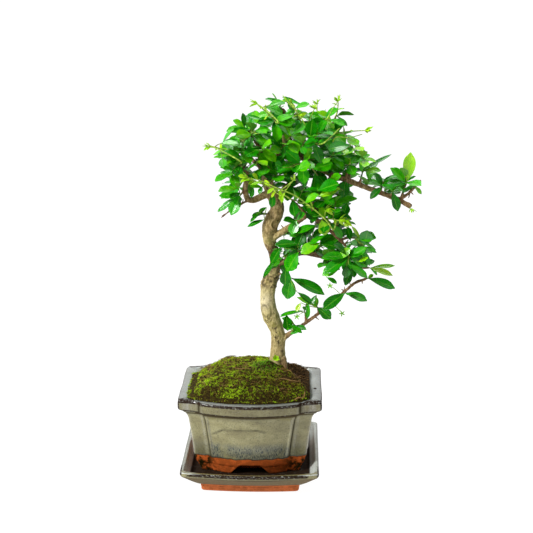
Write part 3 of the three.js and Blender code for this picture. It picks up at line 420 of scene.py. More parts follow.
def draw(a, b, c):
    """A number from 0 to 1 that depends only on its three arguments."""
    value = math.sin(a * 127.1 + b * 311.7 + c * 74.7) * 43758.5453
    return value - math.floor(value)


def lattice(x, y, z, seed):
    """A fixed number from 0 to 1 for each corner of a grid of cubes."""
    value = np.sin(x * 127.1 + y * 311.7 + z * 74.7 + seed * 19.19) * 43758.5453
    return value - np.floor(value)


def lumps(points, size, seed=0):
    """Smooth noise from -1 to 1, with lumps about size millimetres wide; size may differ by axis."""
    place = np.asarray(points, float) / size
    cell = np.floor(place)
    part = place - cell
    weight = part * part * (3 - 2 * part)
    total = np.zeros(place.shape[:-1])
    for corner in np.ndindex(2, 2, 2):
        share = np.prod(np.where(corner, weight, 1 - weight), axis=-1)
        total += share * lattice(*np.moveaxis(cell + corner, -1, 0), seed)
    return 2 * total - 1


def unit(vector):
    return vector / np.linalg.norm(vector)


def spline(rows, share):
    """The curve through the rows' x, y and z, at one share of it or at many."""
    points = np.array([row[:3] for row in rows], float)
    padded = np.vstack([2 * points[0] - points[1], points, 2 * points[-1] - points[-2]])
    place = np.clip(share, 0, 1) * (len(points) - 1)
    index = np.minimum(np.floor(place).astype(int), len(points) - 2)
    t = np.expand_dims(place - index, -1)
    a, b, c, d = (padded[index + step] for step in range(4))
    curve = 2 * b + (c - a) * t + (2 * a - 5 * b + 4 * c - d) * t ** 2
    return 0.5 * (curve + (3 * b - a - 3 * c + d) * t ** 3)


def radius_at(rows, share):
    radii = [row[3] for row in rows]
    return np.interp(np.asarray(share) * (len(rows) - 1), range(len(rows)), radii)


def arc(ends, share):
    """The quadratic curve with these start, bend and end points."""
    start, bend, end = ends
    t = np.expand_dims(np.asarray(share, float), -1)
    return (1 - t) ** 2 * start + 2 * t * (1 - t) * bend + t ** 2 * end


def arc_heading(ends, share):
    step = 0.0001
    return unit(arc(ends, min(share + step, 1)) - arc(ends, max(share - step, 0)))


def arc_length(ends):
    points = arc(ends, np.linspace(0, 1, 201))
    return np.linalg.norm(np.diff(points, axis=0), axis=1).sum()


# Meshes

class Skin:
    """Gathers the points and faces of one piece, with a material slot and a tone for each."""

    def __init__(self):
        self.points, self.faces, self.slots, self.tones, self.places, self.rims = [], [], [], [], [], []
        self.count = 0

    def add(self, points, faces, slot=0, tone=(0, 0, 0), place=None, rim=None):
        """place is each point's u and v, and rim is 1 at points whose shared edges stay sharp."""
        points = np.asarray(points, float).reshape(-1, 3)
        number = len(points)
        self.points.append(points)
        self.faces.extend(tuple(i + self.count for i in face) for face in faces)
        self.slots.extend([slot] * len(faces) if np.isscalar(slot) else slot)
        self.tones.append(np.broadcast_to(np.asarray(tone, float), (number, 3)))
        self.places.append(np.zeros((number, 2)) if place is None else place)
        self.rims.append(np.zeros(number) if rim is None else rim)
        self.count += number


def outward(points, faces):
    """The faces, turned round if the closed body's inside is out."""
    volume = 0.0
    for face in faces:
        for i in range(1, len(face) - 1):
            a, b, c = points[face[0]], points[face[i]], points[face[i + 1]]
            volume += a[0] * (b[1] * c[2] - b[2] * c[1]) + a[1] * (b[2] * c[0] - b[0] * c[2]) \
                + a[2] * (b[0] * c[1] - b[1] * c[0])
    return faces if volume > 0 else [face[::-1] for face in faces]


def loft_faces(rows, count, closed=False):
    """Quads through rings of equal count, and with closed also from the last ring to the first."""
    faces = []
    for row in range(rows if closed else rows - 1):
        low, high = row * count, ((row + 1) % rows) * count
        for i in range(count):
            j = (i + 1) % count
            faces.append((low + i, low + j, high + j, high + i))
    return faces


def capped(rings):
    """Points and faces of a closed skin through rings, with a fan at both ends."""
    rows, count = rings.shape[:2]
    points = np.vstack([rings.reshape(-1, 3), rings[0].mean(0), rings[-1].mean(0)])
    faces = loft_faces(rows, count)
    first, last = len(points) - 2, len(points) - 1
    end = (rows - 1) * count
    for i in range(count):
        j = (i + 1) % count
        faces.append((first, j, i))
        faces.append((last, end + i, end + j))
    return points, outward(points.tolist(), faces)


def tube_rings(centres, radii, sides):
    tangents = np.gradient(centres, axis=0)
    tangents /= np.linalg.norm(tangents, axis=1)[:, None]
    side = np.cross([1, 0, 0] if abs(tangents[0][2]) > 0.9 else UP, tangents[0])
    angles = np.arange(sides) * 2 * math.pi / sides
    rings = []
    for centre, tangent, radius in zip(centres, tangents, radii):
        side = unit(side - tangent * (side @ tangent))
        other = np.cross(tangent, side)
        rings.append(centre + radius * (np.outer(np.cos(angles), side) + np.outer(np.sin(angles), other)))
    return np.array(rings)


def add_tube(skin, centres, radii, sides, slot=0, tone=(0, 0, 0)):
    points, faces = capped(tube_rings(centres, radii, sides))
    skin.add(points, faces, slot, tone)


def make_piece(name, skin, materials, replaces=()):
    """A Blender object from a skin, in metres, riding with the model."""
    mesh = bpy.data.meshes.new(name)
    points = np.clip(np.vstack(skin.points) * MM, cad_box[0], cad_box[1])
    mesh.from_pydata(points.tolist(), [], skin.faces)
    mesh.polygons.foreach_set("material_index", skin.slots)
    mesh.polygons.foreach_set("use_smooth", [True] * len(skin.faces))
    corners = np.zeros(len(mesh.loops), int)
    mesh.loops.foreach_get("vertex_index", corners)
    places = np.vstack(skin.places)
    if places.any():
        mesh.uv_layers.new(name="place").data.foreach_set("uv", places[corners].ravel())
    tones = np.hstack([np.vstack(skin.tones), np.ones((skin.count, 1))])
    mesh.color_attributes.new("tone", "FLOAT_COLOR", "POINT").data.foreach_set("color", tones.ravel())
    rims = np.concatenate(skin.rims)
    if rims.any():
        ends = np.zeros(len(mesh.edges) * 2, int)
        mesh.edges.foreach_get("vertices", ends)
        sharp = rims[ends].reshape(-1, 2).min(1) > 0
        mesh.attributes.new("sharp_edge", "BOOLEAN", "EDGE").data.foreach_set("value", sharp)
    mesh.update()
    return add_object(name, mesh, materials, replaces)


def add_object(name, mesh, materials, replaces=()):
    for material in materials:
        mesh.materials.append(material)
    piece = bpy.data.objects.new(name, mesh)
    bpy.context.scene.collection.objects.link(piece)
    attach(piece, "root")
    if replaces:
        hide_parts(*replaces)
    return piece


# Materials

def linear(red, green, blue):
    """A colour named by its screen values from 0 to 255."""
    shares = [channel / 255 for channel in (red, green, blue)]
    return tuple(s / 12.92 if s <= 0.04045 else ((s + 0.055) / 1.055) ** 2.4 for s in shares)


class Shade:
    """A material and short calls for its nodes. A value may be a number, a colour or a socket."""

    def __init__(self, name):
        self.material = bpy.data.materials.new(name)
        self.material.use_nodes = True
        self.tree = self.material.node_tree
        self.tree.nodes.clear()
        self.object = self.node("ShaderNodeTexCoord").outputs["Object"]

    def feed(self, socket, value):
        if isinstance(value, bpy.types.NodeSocket):
            self.tree.links.new(value, socket)
        elif isinstance(value, tuple) and socket.type == "RGBA":
            socket.default_value = (*value[:3], 1)
        else:
            socket.default_value = value

    def node(self, kind, inputs=None, **settings):
        made = self.tree.nodes.new(kind)
        for key, value in settings.items():
            setattr(made, key, value)
        for key, value in (inputs or {}).items():
            self.feed(made.inputs[key], value)
        return made

    def times(self, first, *others):
        """The product of two or more values."""
        for other in others:
            first = self.math("MULTIPLY", first, other)
        return first

    def math(self, operation, *values, clamp=False):
        made = self.node("ShaderNodeMath", operation=operation, use_clamp=clamp)
        for socket, value in zip(made.inputs, values):
            self.feed(socket, value)
        return made.outputs[0]

    def mix(self, share, first, second):
        made = self.node("ShaderNodeMix", data_type="RGBA")
        for index, value in ((0, share), (6, first), (7, second)):
            self.feed(made.inputs[index], value)
        return made.outputs[2]

    def layered(self, colour, layers):
        """The colour under layers, each a share and a colour named by its screen values."""
        for share, screen_values in layers:
            colour = self.mix(share, colour, linear(*screen_values))
        return colour

    def between(self, value, low, high, start=0.0, end=1.0):
        """value brought from low..high to start..end, smoothly and no further."""
        made = self.node("ShaderNodeMapRange", {
            "Value": value, "From Min": low, "From Max": high, "To Min": start, "To Max": end,
        }, interpolation_type="SMOOTHSTEP")
        return made.outputs[0]

    def stretched(self, x, y, z):
        """Coordinates in millimetres, divided by the size of a lump along each axis."""
        made = self.node("ShaderNodeMapping", {"Vector": self.object})
        made.inputs["Scale"].default_value = [1 / (MM * size) for size in (x, y, z)]
        return made.outputs[0]

    def noise(self, size, detail=2.0, rough=0.5, bend=0.0):
        sizes = size if isinstance(size, tuple) else (size,) * 3
        made = self.node("ShaderNodeTexNoise", {
            "Vector": self.stretched(*sizes), "Scale": 1.0, "Detail": detail,
            "Roughness": rough, "Distortion": bend,
        })
        return made.outputs[0]

    def tone(self):
        """The three channels of the mesh's tone."""
        colour = self.node("ShaderNodeAttribute", attribute_name="tone").outputs["Color"]
        return self.node("ShaderNodeSeparateColor", {"Color": colour}).outputs

    def normal(self):
        """The object's normal along x, y and z."""
        return self.axes(self.node("ShaderNodeTexCoord").outputs["Normal"])

    def axes(self, vector):
        return self.node("ShaderNodeSeparateXYZ", {"Vector": vector}).outputs

    def ramp(self, value, stops):
        made = self.node("ShaderNodeValToRGB", {"Fac": value})
        elements = made.color_ramp.elements
        while len(elements) < len(stops):
            elements.new(0.5)
        for element, (place, colour) in zip(elements, stops):
            element.position = place
            element.color = (*colour, 1)
        return made.outputs[0]

    def finish(self, colour, rough, height=None, depth=0.2, **sockets):
        """The surface. depth is the relief of height's full range, in millimetres."""
        surface = self.node("ShaderNodeBsdfPrincipled", {"Base Color": colour, "Roughness": rough})
        for name, value in sockets.items():
            self.feed(surface.inputs[name.replace("_", " ")], value)
        if height is not None:
            bump = self.node("ShaderNodeBump", {"Height": height, "Distance": depth * MM})
            self.tree.links.new(bump.outputs[0], surface.inputs["Normal"])
        output = self.node("ShaderNodeOutputMaterial")
        self.tree.links.new(surface.outputs[0], output.inputs["Surface"])
        return self.material


def ceramic_material(name, glaze_edge, ear_rise, clay, wash, sky_reflection_colour):
    """Olive grey glaze down to glaze_edge, which lies ear_rise higher at the sides, then bare clay.

    The tone's channels are: thin glaze that breaks brown on edges; dark lines in the hollows beside
    ridges, which also carry painted shade under the pot's rim band and on the saucer's floor; and
    light glaze on top of ridges, with a painted highlight on the ears' faces, which is grime where the
    clay is bare, with painted shade in the foot's grooves. wash is 1 for glaze with a blue wash and
    brown ears, and 0 for glaze without. The glaze is also painted lighter on faces turned partly up,
    takes a painted sky reflection in sky_reflection_colour on faces turned up, is painted darker as
    shade on faces turned down, and has painted white glints on its thin, broken edges.
    """
    shade = Shade(name)
    thin, line, pale = shade.tone()[:3]
    x, y, z = shade.axes(shade.stretched(1, 1, 1))[:3]
    beside = shade.math("ABSOLUTE", x)
    facing = shade.normal()[2]
    fine = shade.noise(1.6, 3, 0.7)
    run = shade.noise((0.9, 0.9, 3.2), 4, 0.7, 0.5)
    glints = shade.noise((2.0, 2.0, 1.0), 3, 0.7)
    low = shade.times(
        shade.between(z, glaze_edge + WASH["top"], glaze_edge + WASH["full"], 0, wash),
        shade.between(shade.noise((15, 15, 30), 2), 0.30, 0.48),
        shade.between(beside, WASH["side"], WASH["side"] + WASH["fade"], 1, 0.3),
    )
    ear_stain = shade.times(shade.between(beside, *EAR_STAIN["side"], 0, 0.55 * wash),
                            shade.between(z, *EAR_STAIN["height"]))
    # Painted light: the glaze is lighter on faces turned partly up, such as the saucer's inner walls
    upward_painted_light = shade.times(shade.between(facing, 0.1, 0.3), shade.between(facing, 0.95, 0.8), 0.95)
    # Painted reflection: faces turned up take the pale colour of the sky they would mirror, left off the
    # saucer's front lip
    top = shade.times(shade.between(facing, 0.35, 0.8), shade.between(fine, 0.3, 0.6, 1, 0.65),
                      shade.between(y, -68, -60, wash, 1))
    # Light glaze on top of ridges, and a painted highlight on the ears' faces above the rim band
    ridge_glaze_and_ear_highlight = shade.times(pale, shade.between(shade.noise((3, 3, 8), 3), 0.35, 0.6, 0.2, 0.6))
    breaks = shade.between(shade.noise((3.5, 3.5, 1.2), 3, 0.65), 0.22, 0.46)
    broken = shade.times(shade.math("MULTIPLY", thin, 1.6, clamp=True), breaks)
    # Painted highlight: white glints as pale spots on the thin, broken edges
    white = shade.times(broken, shade.between(glints, 0.60, 0.68, 0, 0.7),
                        shade.between(line, 0.1, 0.4, 1, 0))
    wave = shade.times(shade.math("SUBTRACT", shade.noise(9, 3), 0.5), 5)
    side = shade.between(beside, 38, 46, 0, ear_rise)
    edge = shade.math("ADD", shade.math("ADD", side, wave), glaze_edge)
    covered = shade.math("SUBTRACT", z, edge)
    mask = shade.between(covered, -0.25, 0.25)
    glaze = shade.ramp(shade.noise((16, 16, 9), 3), [
        (0.30, linear(126, 119, 80)), (0.5, linear(144, 138, 94)), (0.70, linear(158, 153, 110)),
    ])
    glaze = shade.layered(glaze, [
        (shade.between(fine, 0.50, 0.72, 0, 0.8), (108, 102, 70)),
        (ear_stain, (92, 86, 50)),
        (shade.times(low, 0.55), (92, 100, 96)),
        (shade.times(low, shade.between(run, 0.50, 0.58)), (40, 54, 64)),
        (shade.times(low, shade.between(run, 0.42, 0.34)), (150, 148, 116)),
        # painted light on faces turned partly up
        (upward_painted_light, (224, 229, 220)),
        (ridge_glaze_and_ear_highlight, (176, 174, 158)),
        # painted reflection of the sky on faces turned up
        (top, sky_reflection_colour),
        # painted shade: the glaze is darker on faces turned down
        (shade.between(facing, -0.40, -0.6, 0, 0.95), (104, 88, 58)),
        (shade.between(shade.noise(1.0, 3, 0.65), 0.56, 0.66, 0, 0.7), (60, 56, 36)),
        (shade.between(shade.noise(0.7, 2, 0.6), 0.62, 0.72, 0, 0.35), (186, 184, 160)),
        # dark lines, with painted shade under the rim band and on the saucer's floor
        (shade.times(line, 0.88), (36, 33, 25)),
        (broken, (38, 24, 12)),
        # painted white glints
        (white, (190, 190, 182)),
        (shade.times(mask, shade.between(covered, 2.4, 0.3, 0, 0.75)), (50, 44, 24)),
    ])
    bare = shade.ramp(shade.noise(1.1, 4, 0.65), [
        (0.35, shade_of(clay, 0.80)), (0.6, clay), (0.8, shade_of(clay, 1.15)),
    ])
    # Grime on the bare clay, with painted shade in the foot's grooves
    dirt_and_groove_shade = shade.times(pale, shade.between(shade.noise(6, 3, 0.6), 0.40, 0.58))
    colour = shade.mix(mask, shade.layered(bare, [(dirt_and_groove_shade, (40, 32, 6))]), glaze)
    dull = shade.times(broken, shade.between(glints, 0.58, 0.50))
    shine = shade.times(mask, shade.between(line, 0.2, 0.9, 1, 0.1), shade.between(dull, 0, 1, 1, 0.2),
                        shade.between(facing, -0.35, -0.6, 1, 0.25))
    height = shade.math("ADD", shade.times(mask, 1.4), shade.times(fine, 0.3))
    rough = shade.between(shine, 0, 1, 0.7, 0.15)
    return shade.finish(colour, rough, height, 0.4, Specular_IOR_Level=shade.between(shine, 0, 1, 0.06, 0.6))


def shade_of(colour, share):
    return tuple(min(channel * share, 1) for channel in colour)


def leaf_material(name, stops, rough, vein, wash):
    """tone: place on the ramp of stops, random, gloss. u runs from stalk to tip, v across."""
    shade = Shade(name)
    age, chance, gloss = shade.tone()[:3]
    place = shade.node("ShaderNodeTexCoord").outputs["UV"]
    u, v = shade.axes(place)[:2]
    across = shade.math("ABSOLUTE", shade.math("SUBTRACT", v, 0.5))
    mottle = shade.noise(4.5, 3, 0.6)
    age = shade.math("ADD", age, shade.between(mottle, 0.3, 0.7, -0.07, 0.07))
    colour = shade.ramp(age, stops)
    rib = shade.between(across, 0.055, 0.0)
    phase = shade.math("SUBTRACT", shade.times(u, 9.0), shade.times(across, 5.0))
    side = shade.math("SINE", shade.times(shade.math("ADD", phase, chance), 2 * math.pi))
    veins = shade.math("MAXIMUM", rib, shade.times(shade.between(side, 0.80, 1.0), 0.35))
    colour = shade.mix(shade.times(veins, wash), colour, vein)
    height = shade.math("SUBTRACT", shade.times(mottle, 0.4), veins)
    level = shade.between(gloss, 0, 1, 0.03, 0.85)
    return shade.finish(colour, rough, height, 0.16, Specular_IOR_Level=level)


def plain_material(name, stops, size, rough, depth=0.15, detail=3.0, spec=0.3, noise_rough=0.6):
    """A surface whose colour follows its noise through the ramp, shifted by the tone's first channel."""
    shade = Shade(name)
    shift = shade.tone()[0]
    grain = shade.noise(size, detail, noise_rough)
    colour = shade.ramp(shade.math("ADD", grain, shift), stops)
    return shade.finish(colour, rough, grain, depth, Specular_IOR_Level=spec)


def bark_material():
    """tone: crevices, youth of the wood, and the smooth pale patch. The crevice channel also carries
    painted shade, and the right side is painted darker and greener as shade.
    """
    shade = Shade("bark")
    crevice, young, pale = shade.tone()[:3]
    grain = shade.noise((1.8, 1.8, 4.5), 5, 0.62, 0.3)
    patch = shade.noise((7, 7, 12), 3, 0.55)
    aside = shade.normal()[0]
    old = shade.ramp(grain, [
        (0.28, linear(118, 104, 50)), (0.45, linear(176, 162, 104)), (0.6, linear(208, 192, 134)),
        (0.78, linear(228, 214, 166)),
    ])
    # Olive patches, stronger on the right side, where they are also painted shade
    olive = shade.times(shade.between(patch, 0.50, 0.66), shade.between(aside, -0.6, 0.2, 0.25, 0.75))
    old = shade.layered(old, [(olive, (140, 134, 60))])
    fresh = shade.ramp(grain, [
        (0.3, linear(60, 38, 18)), (0.52, linear(130, 98, 64)), (0.75, linear(184, 156, 120)),
    ])
    # Painted shade: the right side darker and greener
    right_side_painted_shade = shade.times(shade.between(aside, 0.5, 0.97, 0, 0.8), shade.between(patch, 0.35, 0.55, 0.5, 1))
    colour = shade.layered(shade.mix(young, old, fresh), [
        (shade.times(pale, 0.7), (214, 202, 166)),
        (right_side_painted_shade, (84, 94, 30)),
        (crevice, (40, 26, 8)),
        (shade.between(shade.noise(1.1, 2, 0.5), 0.66, 0.74, 0, 0.35), (70, 54, 26)),
    ])
    return shade.finish(colour, 0.75, grain, 0.5, Specular_IOR_Level=0.25)


def moss_material():
    """tone: how green, random, height in the tuft."""
    shade = Shade("moss")
    green, chance, high = shade.tone()[:3]
    value = shade.math("ADD", green, shade.times(chance, 0.2))
    colour = shade.ramp(value, [
        (0.0, linear(66, 42, 10)), (0.25, linear(134, 108, 34)), (0.45, linear(142, 148, 26)),
        (0.7, linear(130, 178, 8)), (1.0, linear(180, 220, 26)),
    ])
    away = shade.node("ShaderNodeVectorMath", operation="DISTANCE")
    shade.feed(away.inputs[0], shade.stretched(1, 1, 1))
    away.inputs[1].default_value = FRESH_MOSS["middle"]
    reach = FRESH_MOSS["reach"]
    fresh = shade.between(away.outputs["Value"], reach, 0.4 * reach, 0, 0.7)
    colour = shade.layered(colour, [
        (fresh, (64, 164, 14)),
        # painted shade: darker towards each tuft's base, deep among the others
        (shade.between(high, 0.5, 0.05, 0, 0.9), (20, 16, 2)),
    ])
    return shade.finish(colour, 0.85, Specular_IOR_Level=0.15)


MATERIALS = {
    "pot_glaze": ceramic_material("pot_glaze", GLAZE_EDGE, 0.8, linear(204, 100, 44), 1.0, (136, 144, 146)),
    "saucer_glaze": ceramic_material(
        "saucer_glaze", SAUCER_GLAZE_EDGE, 0, linear(214, 118, 68), 0.0, (180, 186, 182)),
    "leaf_top": leaf_material("leaf_top", [
        (0.0, linear(4, 94, 0)), (0.25, linear(20, 144, 0)), (0.45, linear(70, 180, 2)),
        (0.7, linear(138, 208, 14)), (1.0, linear(188, 226, 46)),
    ], 0.26, linear(116, 190, 44), 0.55),
    "leaf_under": leaf_material("leaf_under", [
        (0.0, linear(44, 116, 14)), (0.5, linear(88, 152, 34)), (1.0, linear(176, 214, 66)),
    ], 0.5, linear(140, 190, 90), 0.5),
    "stem": plain_material("stem", [
        (0.3, linear(96, 66, 34)), (0.6, linear(92, 112, 40)), (0.9, linear(136, 176, 48)),
        (1.0, linear(190, 214, 84)),
    ], 3, 0.5),
    "bark": bark_material(),
    "moss": moss_material(),
    "moss_bed": plain_material("moss_bed", [
        (0.25, linear(16, 10, 2)), (0.5, linear(44, 32, 8)), (0.62, linear(64, 58, 10)),
        (0.8, linear(74, 88, 12)),
    ], 2.2, 0.95, 0.9, 4.0, 0.1, 0.7),
    "soil": plain_material("soil", [
        (0.3, linear(20, 13, 4)), (0.55, linear(60, 42, 18)), (0.75, linear(104, 78, 40)),
    ], 1.7, 0.95, 0.8, 4.0, 0.1, 0.7),
    "fibre": plain_material("fibre", [
        (0.2, linear(56, 36, 10)), (0.6, linear(104, 72, 28)), (1.0, linear(164, 130, 76)),
    ], 4, 0.8),
    "mesh_plastic": plain_material("mesh_plastic", [
        (0.3, linear(18, 18, 18)), (0.7, linear(40, 40, 42)),
    ], 2, 0.5),
    "petal": plain_material("petal", [
        (0.2, linear(226, 232, 216)), (0.8, linear(250, 252, 246)),
    ], 3, 0.5),
}
# The materials of every piece with leaves: top, underside and stem, which are slots 0, 1 and 2
LEAFY = [MATERIALS[name] for name in ("leaf_top", "leaf_under", "stem")]
STEM_SLOT = 2
PETAL_SLOT = 3


# Pot and saucer

def smoothed_levels(levels, steps):
    """Levels with their corners rounded and their straights divided into steps of at most that size."""
    rows = np.array([row[:-1] for row in levels], float)
    made = [rows[0]]
    for index in range(1, len(rows) - 1):
        before, here, after = rows[index - 1:index + 2]
        radius = levels[index][-1]
        reach_in = min(radius, 0.45 * level_gap(here, before)) / level_gap(here, before)
        reach_out = min(radius, 0.45 * level_gap(here, after)) / level_gap(here, after)
        ends = (here + (before - here) * reach_in, here, here + (after - here) * reach_out)
        made.extend(arc(ends, np.linspace(0, 1, 5)))
    made.append(rows[-1])
    full = [made[0]]
    for low, high in zip(made, made[1:]):
        number = max(1, math.ceil(level_gap(low, high) / steps))
        full.extend(low + (high - low) * (i + 1) / number for i in range(number))
    return full


def level_gap(a, b):
    return math.hypot(a[0] - b[0], a[-1] - b[-1]) + 1e-9


def bowed_depth(x, half_width, edge, middle):
    return middle - (middle - edge) * (x / half_width) ** 2


def mirrored(quarter):
    """The whole outline from its front right quarter, front middle to side middle."""
    quarter = np.asarray(quarter)
    back_right = (quarter * [1, -1])[::-1]
    back_left = (quarter * [-1, -1])[1:-1]
    front_left = (quarter * [-1, 1])[1:][::-1]
    return np.vstack([quarter, back_right[1:], back_left, front_left])


def bowed_rectangle(half_width, corner, middle, round_, inset=0.0, columns=16):
    wide, edge, deep = half_width - inset, corner - inset, middle - inset
    front = np.linspace(0, wide - round_, columns)
    quarter = [(x, -bowed_depth(x, wide, edge, deep)) for x in front]
    start, end = np.array(quarter[-1]), np.array([wide, -edge + round_])
    bend = np.array([wide, -edge - 0.2])
    quarter.extend(arc((start, bend, end), np.linspace(0, 1, 8))[1:])
    quarter.extend((wide, y) for y in np.linspace(-edge + round_, 0, columns)[1:])
    return mirrored(quarter)


def ridge_shape(distance):
    """How far a ridge stands out at a distance from its middle line."""
    return RIDGE["height"] * np.exp(-(distance / RIDGE["width"]) ** 2)


def pot_outline(level):
    height, ear_x, ear_y, panel_x, panel_end, panel_middle = level
    strong = np.clip(min(height - RIDGE["low"], RIDGE["high"] - height) / 3, 0, 1)
    step = (panel_end - ear_y) * 0.35
    near = panel_x - np.array([4, 3, 2.4, 1.8, 1.2, 0.6])
    front = np.concatenate([np.linspace(0, panel_x - 5, 28), near])
    quarter = []
    for x in front:
        bump = strong * ridge_shape(panel_x - 1.2 - x)
        quarter.append((x, -bowed_depth(x, panel_x, panel_end, panel_middle) - bump))
    panel_corner = (
        np.array(quarter[-1]), np.array([panel_x + 0.3, -panel_end - strong * 0.5]),
        np.array([panel_x + 1, -panel_end + step]),
    )
    quarter.extend(arc(panel_corner, np.linspace(0, 1, 5))[1:])
    ear_start = np.array([ear_x - POT_EAR_ROUND, -ear_y - 0.4])
    hollow = (quarter[-1], quarter[-1] + np.array([0.8, step * 0.6]), ear_start)
    quarter.extend(arc(hollow, np.linspace(0, 1, 10))[1:])
    ear = (ear_start, np.array([ear_x, -ear_y - 0.2]), np.array([ear_x, -ear_y + POT_EAR_ROUND]))
    quarter.extend(arc(ear, np.linspace(0, 1, 7))[1:])
    fine = POT_SIDE_RIDGE + np.array([4, 2.4, 1.6, 0.8, 0, -0.8, -1.6, -2.4, -4])
    side = np.concatenate([[-ear_y + POT_EAR_ROUND + 3], -fine, np.linspace(-24, 0, 14)])
    for y in side:
        quarter.append((ear_x + strong * ridge_shape(y + POT_SIDE_RIDGE), y))
    return mirrored(quarter)


def ridge_marks(level):
    """Weights round the outline at one level: dark in the hollows beside the ridges, light on top of them,
    and a painted highlight on the ears' faces above the rim band.
    """
    height, ear_x, ear_y, panel_x, panel_end, _ = level
    strong = 1 if height > RIM_BAND else np.clip(min(height - RIDGE["low"] + 4, RIM_BAND - height) / 3, 0, 1)
    x, y = np.abs(pot_outline(level)).T
    front = y > panel_end - (panel_end - ear_y) * 0.9
    wide = 1.6 if height > RIM_BAND else 1.1
    dark = front * np.exp(-((x - panel_x - 0.8) / wide) ** 2)
    beside = np.maximum(np.exp(-((x - panel_x + 2) / 1.2) ** 2), np.exp(-((x - panel_x - 4) / 1.5) ** 2))
    light = 0.7 * front * beside
    side = x > ear_x - 0.5
    dark = np.maximum(dark, 0.6 * side * np.exp(-((y - POT_SIDE_RIDGE + 2.4) / 0.8) ** 2))
    light = np.maximum(light, 0.8 * side * np.exp(-((y - POT_SIDE_RIDGE) / 1.0) ** 2))
    light = np.maximum(light, 0.7 * np.exp(-(np.hypot(x - ear_x + 1, y - ear_y + 1) / 1.6) ** 2))
    # Painted highlight on the ears' faces above the rim band
    if height > RIM_BAND:
        light = np.maximum(light, 1.6 * np.exp(-((x - 65) / 5) ** 2) * (y > 46))
    return strong * np.column_stack([dark, light])


def with_height(outline, height):
    return np.column_stack([outline, np.full(len(outline), float(height))])


def gate_lift(outline):
    """How far the foot's underside is raised by the low gate in the middle of each side."""
    x, y = np.abs(outline[:, 0]), np.abs(outline[:, 1])
    across = np.where(y / (np.abs(y).max()) > x / (np.abs(x).max()), x, y)
    slope = (FOOT_GATE["bottom"] / 2 - across) / ((FOOT_GATE["bottom"] - FOOT_GATE["top"]) / 2)
    return FOOT_GATE["height"] * np.clip(slope, 0, 1)


def circle_like(outline, radius):
    """A circle whose points lie in the same directions as the outline's."""
    angles = np.arctan2(outline[:, 1], outline[:, 0])
    return radius * np.column_stack([np.cos(angles), np.sin(angles)])


def segment_distance(points, start, end):
    start, end = np.array(start, float), np.array(end, float)
    along = end - start
    share = np.clip(((points - start) @ along) / (along @ along), 0, 1)
    return np.linalg.norm(points - start - share[:, None] * along, axis=1)


def pot_body(levels):
    """Closed rings from the drain hole out under the foot, up the outside, over the rim and down the inside.

    The second result is the part of the rings that follow the levels.
    """
    outlines = [pot_outline(level) for level in levels]
    foot = outlines[0]
    lift = gate_lift(foot)
    rings = [with_height(outline, level[0]) for outline, level in zip(outlines, levels)]
    for ring in rings:
        ring[:, 2] = np.maximum(ring[:, 2], SAUCER_FLOOR + lift)
    inner_foot = foot * (1 - FOOT_WIDTH / np.abs(foot).max(0))
    drain = circle_like(foot, DRAIN_RADIUS)
    ceiling = SAUCER_FLOOR + FOOT_RECESS
    under = [with_height(drain, POT_FLOOR), with_height(drain, ceiling + 0.6)]
    for share in (0, 0.35, 0.7, 1):
        under.append(with_height(drain * 1.1 * (1 - share) + inner_foot * share, ceiling))
    under.append(with_height(inner_foot, SAUCER_FLOOR) + UP * lift[:, None])
    inner_levels = smoothed_levels(INNER_LEVELS, 3)
    inside = [matched(*level[1:], level[0], foot) for level in reversed(inner_levels)]
    floor = [with_height(drain + (inside[-1][:, :2] - drain) * share, POT_FLOOR) for share in (0.6, 0.2)]
    body = np.array([*under, *rings, *inside, *floor])
    return body, slice(len(under), len(under) + len(levels))


def foot_groove(height):
    return np.exp(-((height - POT_FOOT_GROOVE) / 0.45) ** 2)


def shape_pot(body):
    """Presses the foot's groove and ledge, the ears' waist and some unevenness into the body."""
    z = body[..., 2]
    ledge = (z < POT_FOOT_GROOVE + 0.8) & (np.abs(body[..., 0]) + np.abs(body[..., 1]) > 70)
    body[..., :2] *= 1 - (0.012 * foot_groove(z) + 0.008 * ledge)[..., None]
    x, y = np.abs(body[..., 0]), np.abs(body[..., 1])
    ear = np.clip((x - 56) / 2, 0, 1) * np.clip((y - 46) / 2, 0, 1)
    pinch = 0.018 * ear * np.clip(np.abs(z - 94) / 6, 0, 1) ** 3 * (z > RIM_BAND)
    body[..., :2] *= 1 - pinch[..., None]
    wobble(body, 0.35, 26, 3)


def panel_line(body):
    """1 along the line scratched in the front panel."""
    front = (body[..., 1] < -50) & (body[..., 2] > 55) & (body[..., 2] < 80)
    line = np.zeros(body.shape[:2])
    for start, end in zip(PANEL_LINE, PANEL_LINE[1:]):
        near = segment_distance(body[front][:, [0, 2]], start, end)
        line[front] = np.maximum(line[front], np.exp(-near ** 2))
    return line


def pot_tone(body, line, marks, skin_rows):
    """Tone of the pot's body, with painted shade under the rim band and in the foot's groove. marks are
    those of the ridges, at skin_rows.
    """
    tone = np.zeros(body.shape)
    tone[..., 0] = edge_wear(body)
    tone[..., 1] = line * (0.8 + 0.3 * lumps(body, 6, 4))
    # Dark lines beside the ridges, and painted shade under the rim band
    dark = np.maximum(marks[..., 0], 0.7 * painted_rim_band_shade(body[skin_rows]))
    tone[skin_rows, :, 1] = np.maximum(tone[skin_rows, :, 1], dark)
    tone[skin_rows, :, 2] = marks[..., 1]
    # Grime on the bare clay, stronger to the sides, and painted shade in the foot's groove
    dirt_and_groove_shade = np.maximum(np.clip((np.abs(body[..., 0]) - 30) / 14, 0.3, 1), 1.2 * foot_groove(body[..., 2]))
    tone[..., 2] = np.where(body[..., 2] < GLAZE_EDGE + 2, dirt_and_groove_shade, tone[..., 2])
    return tone


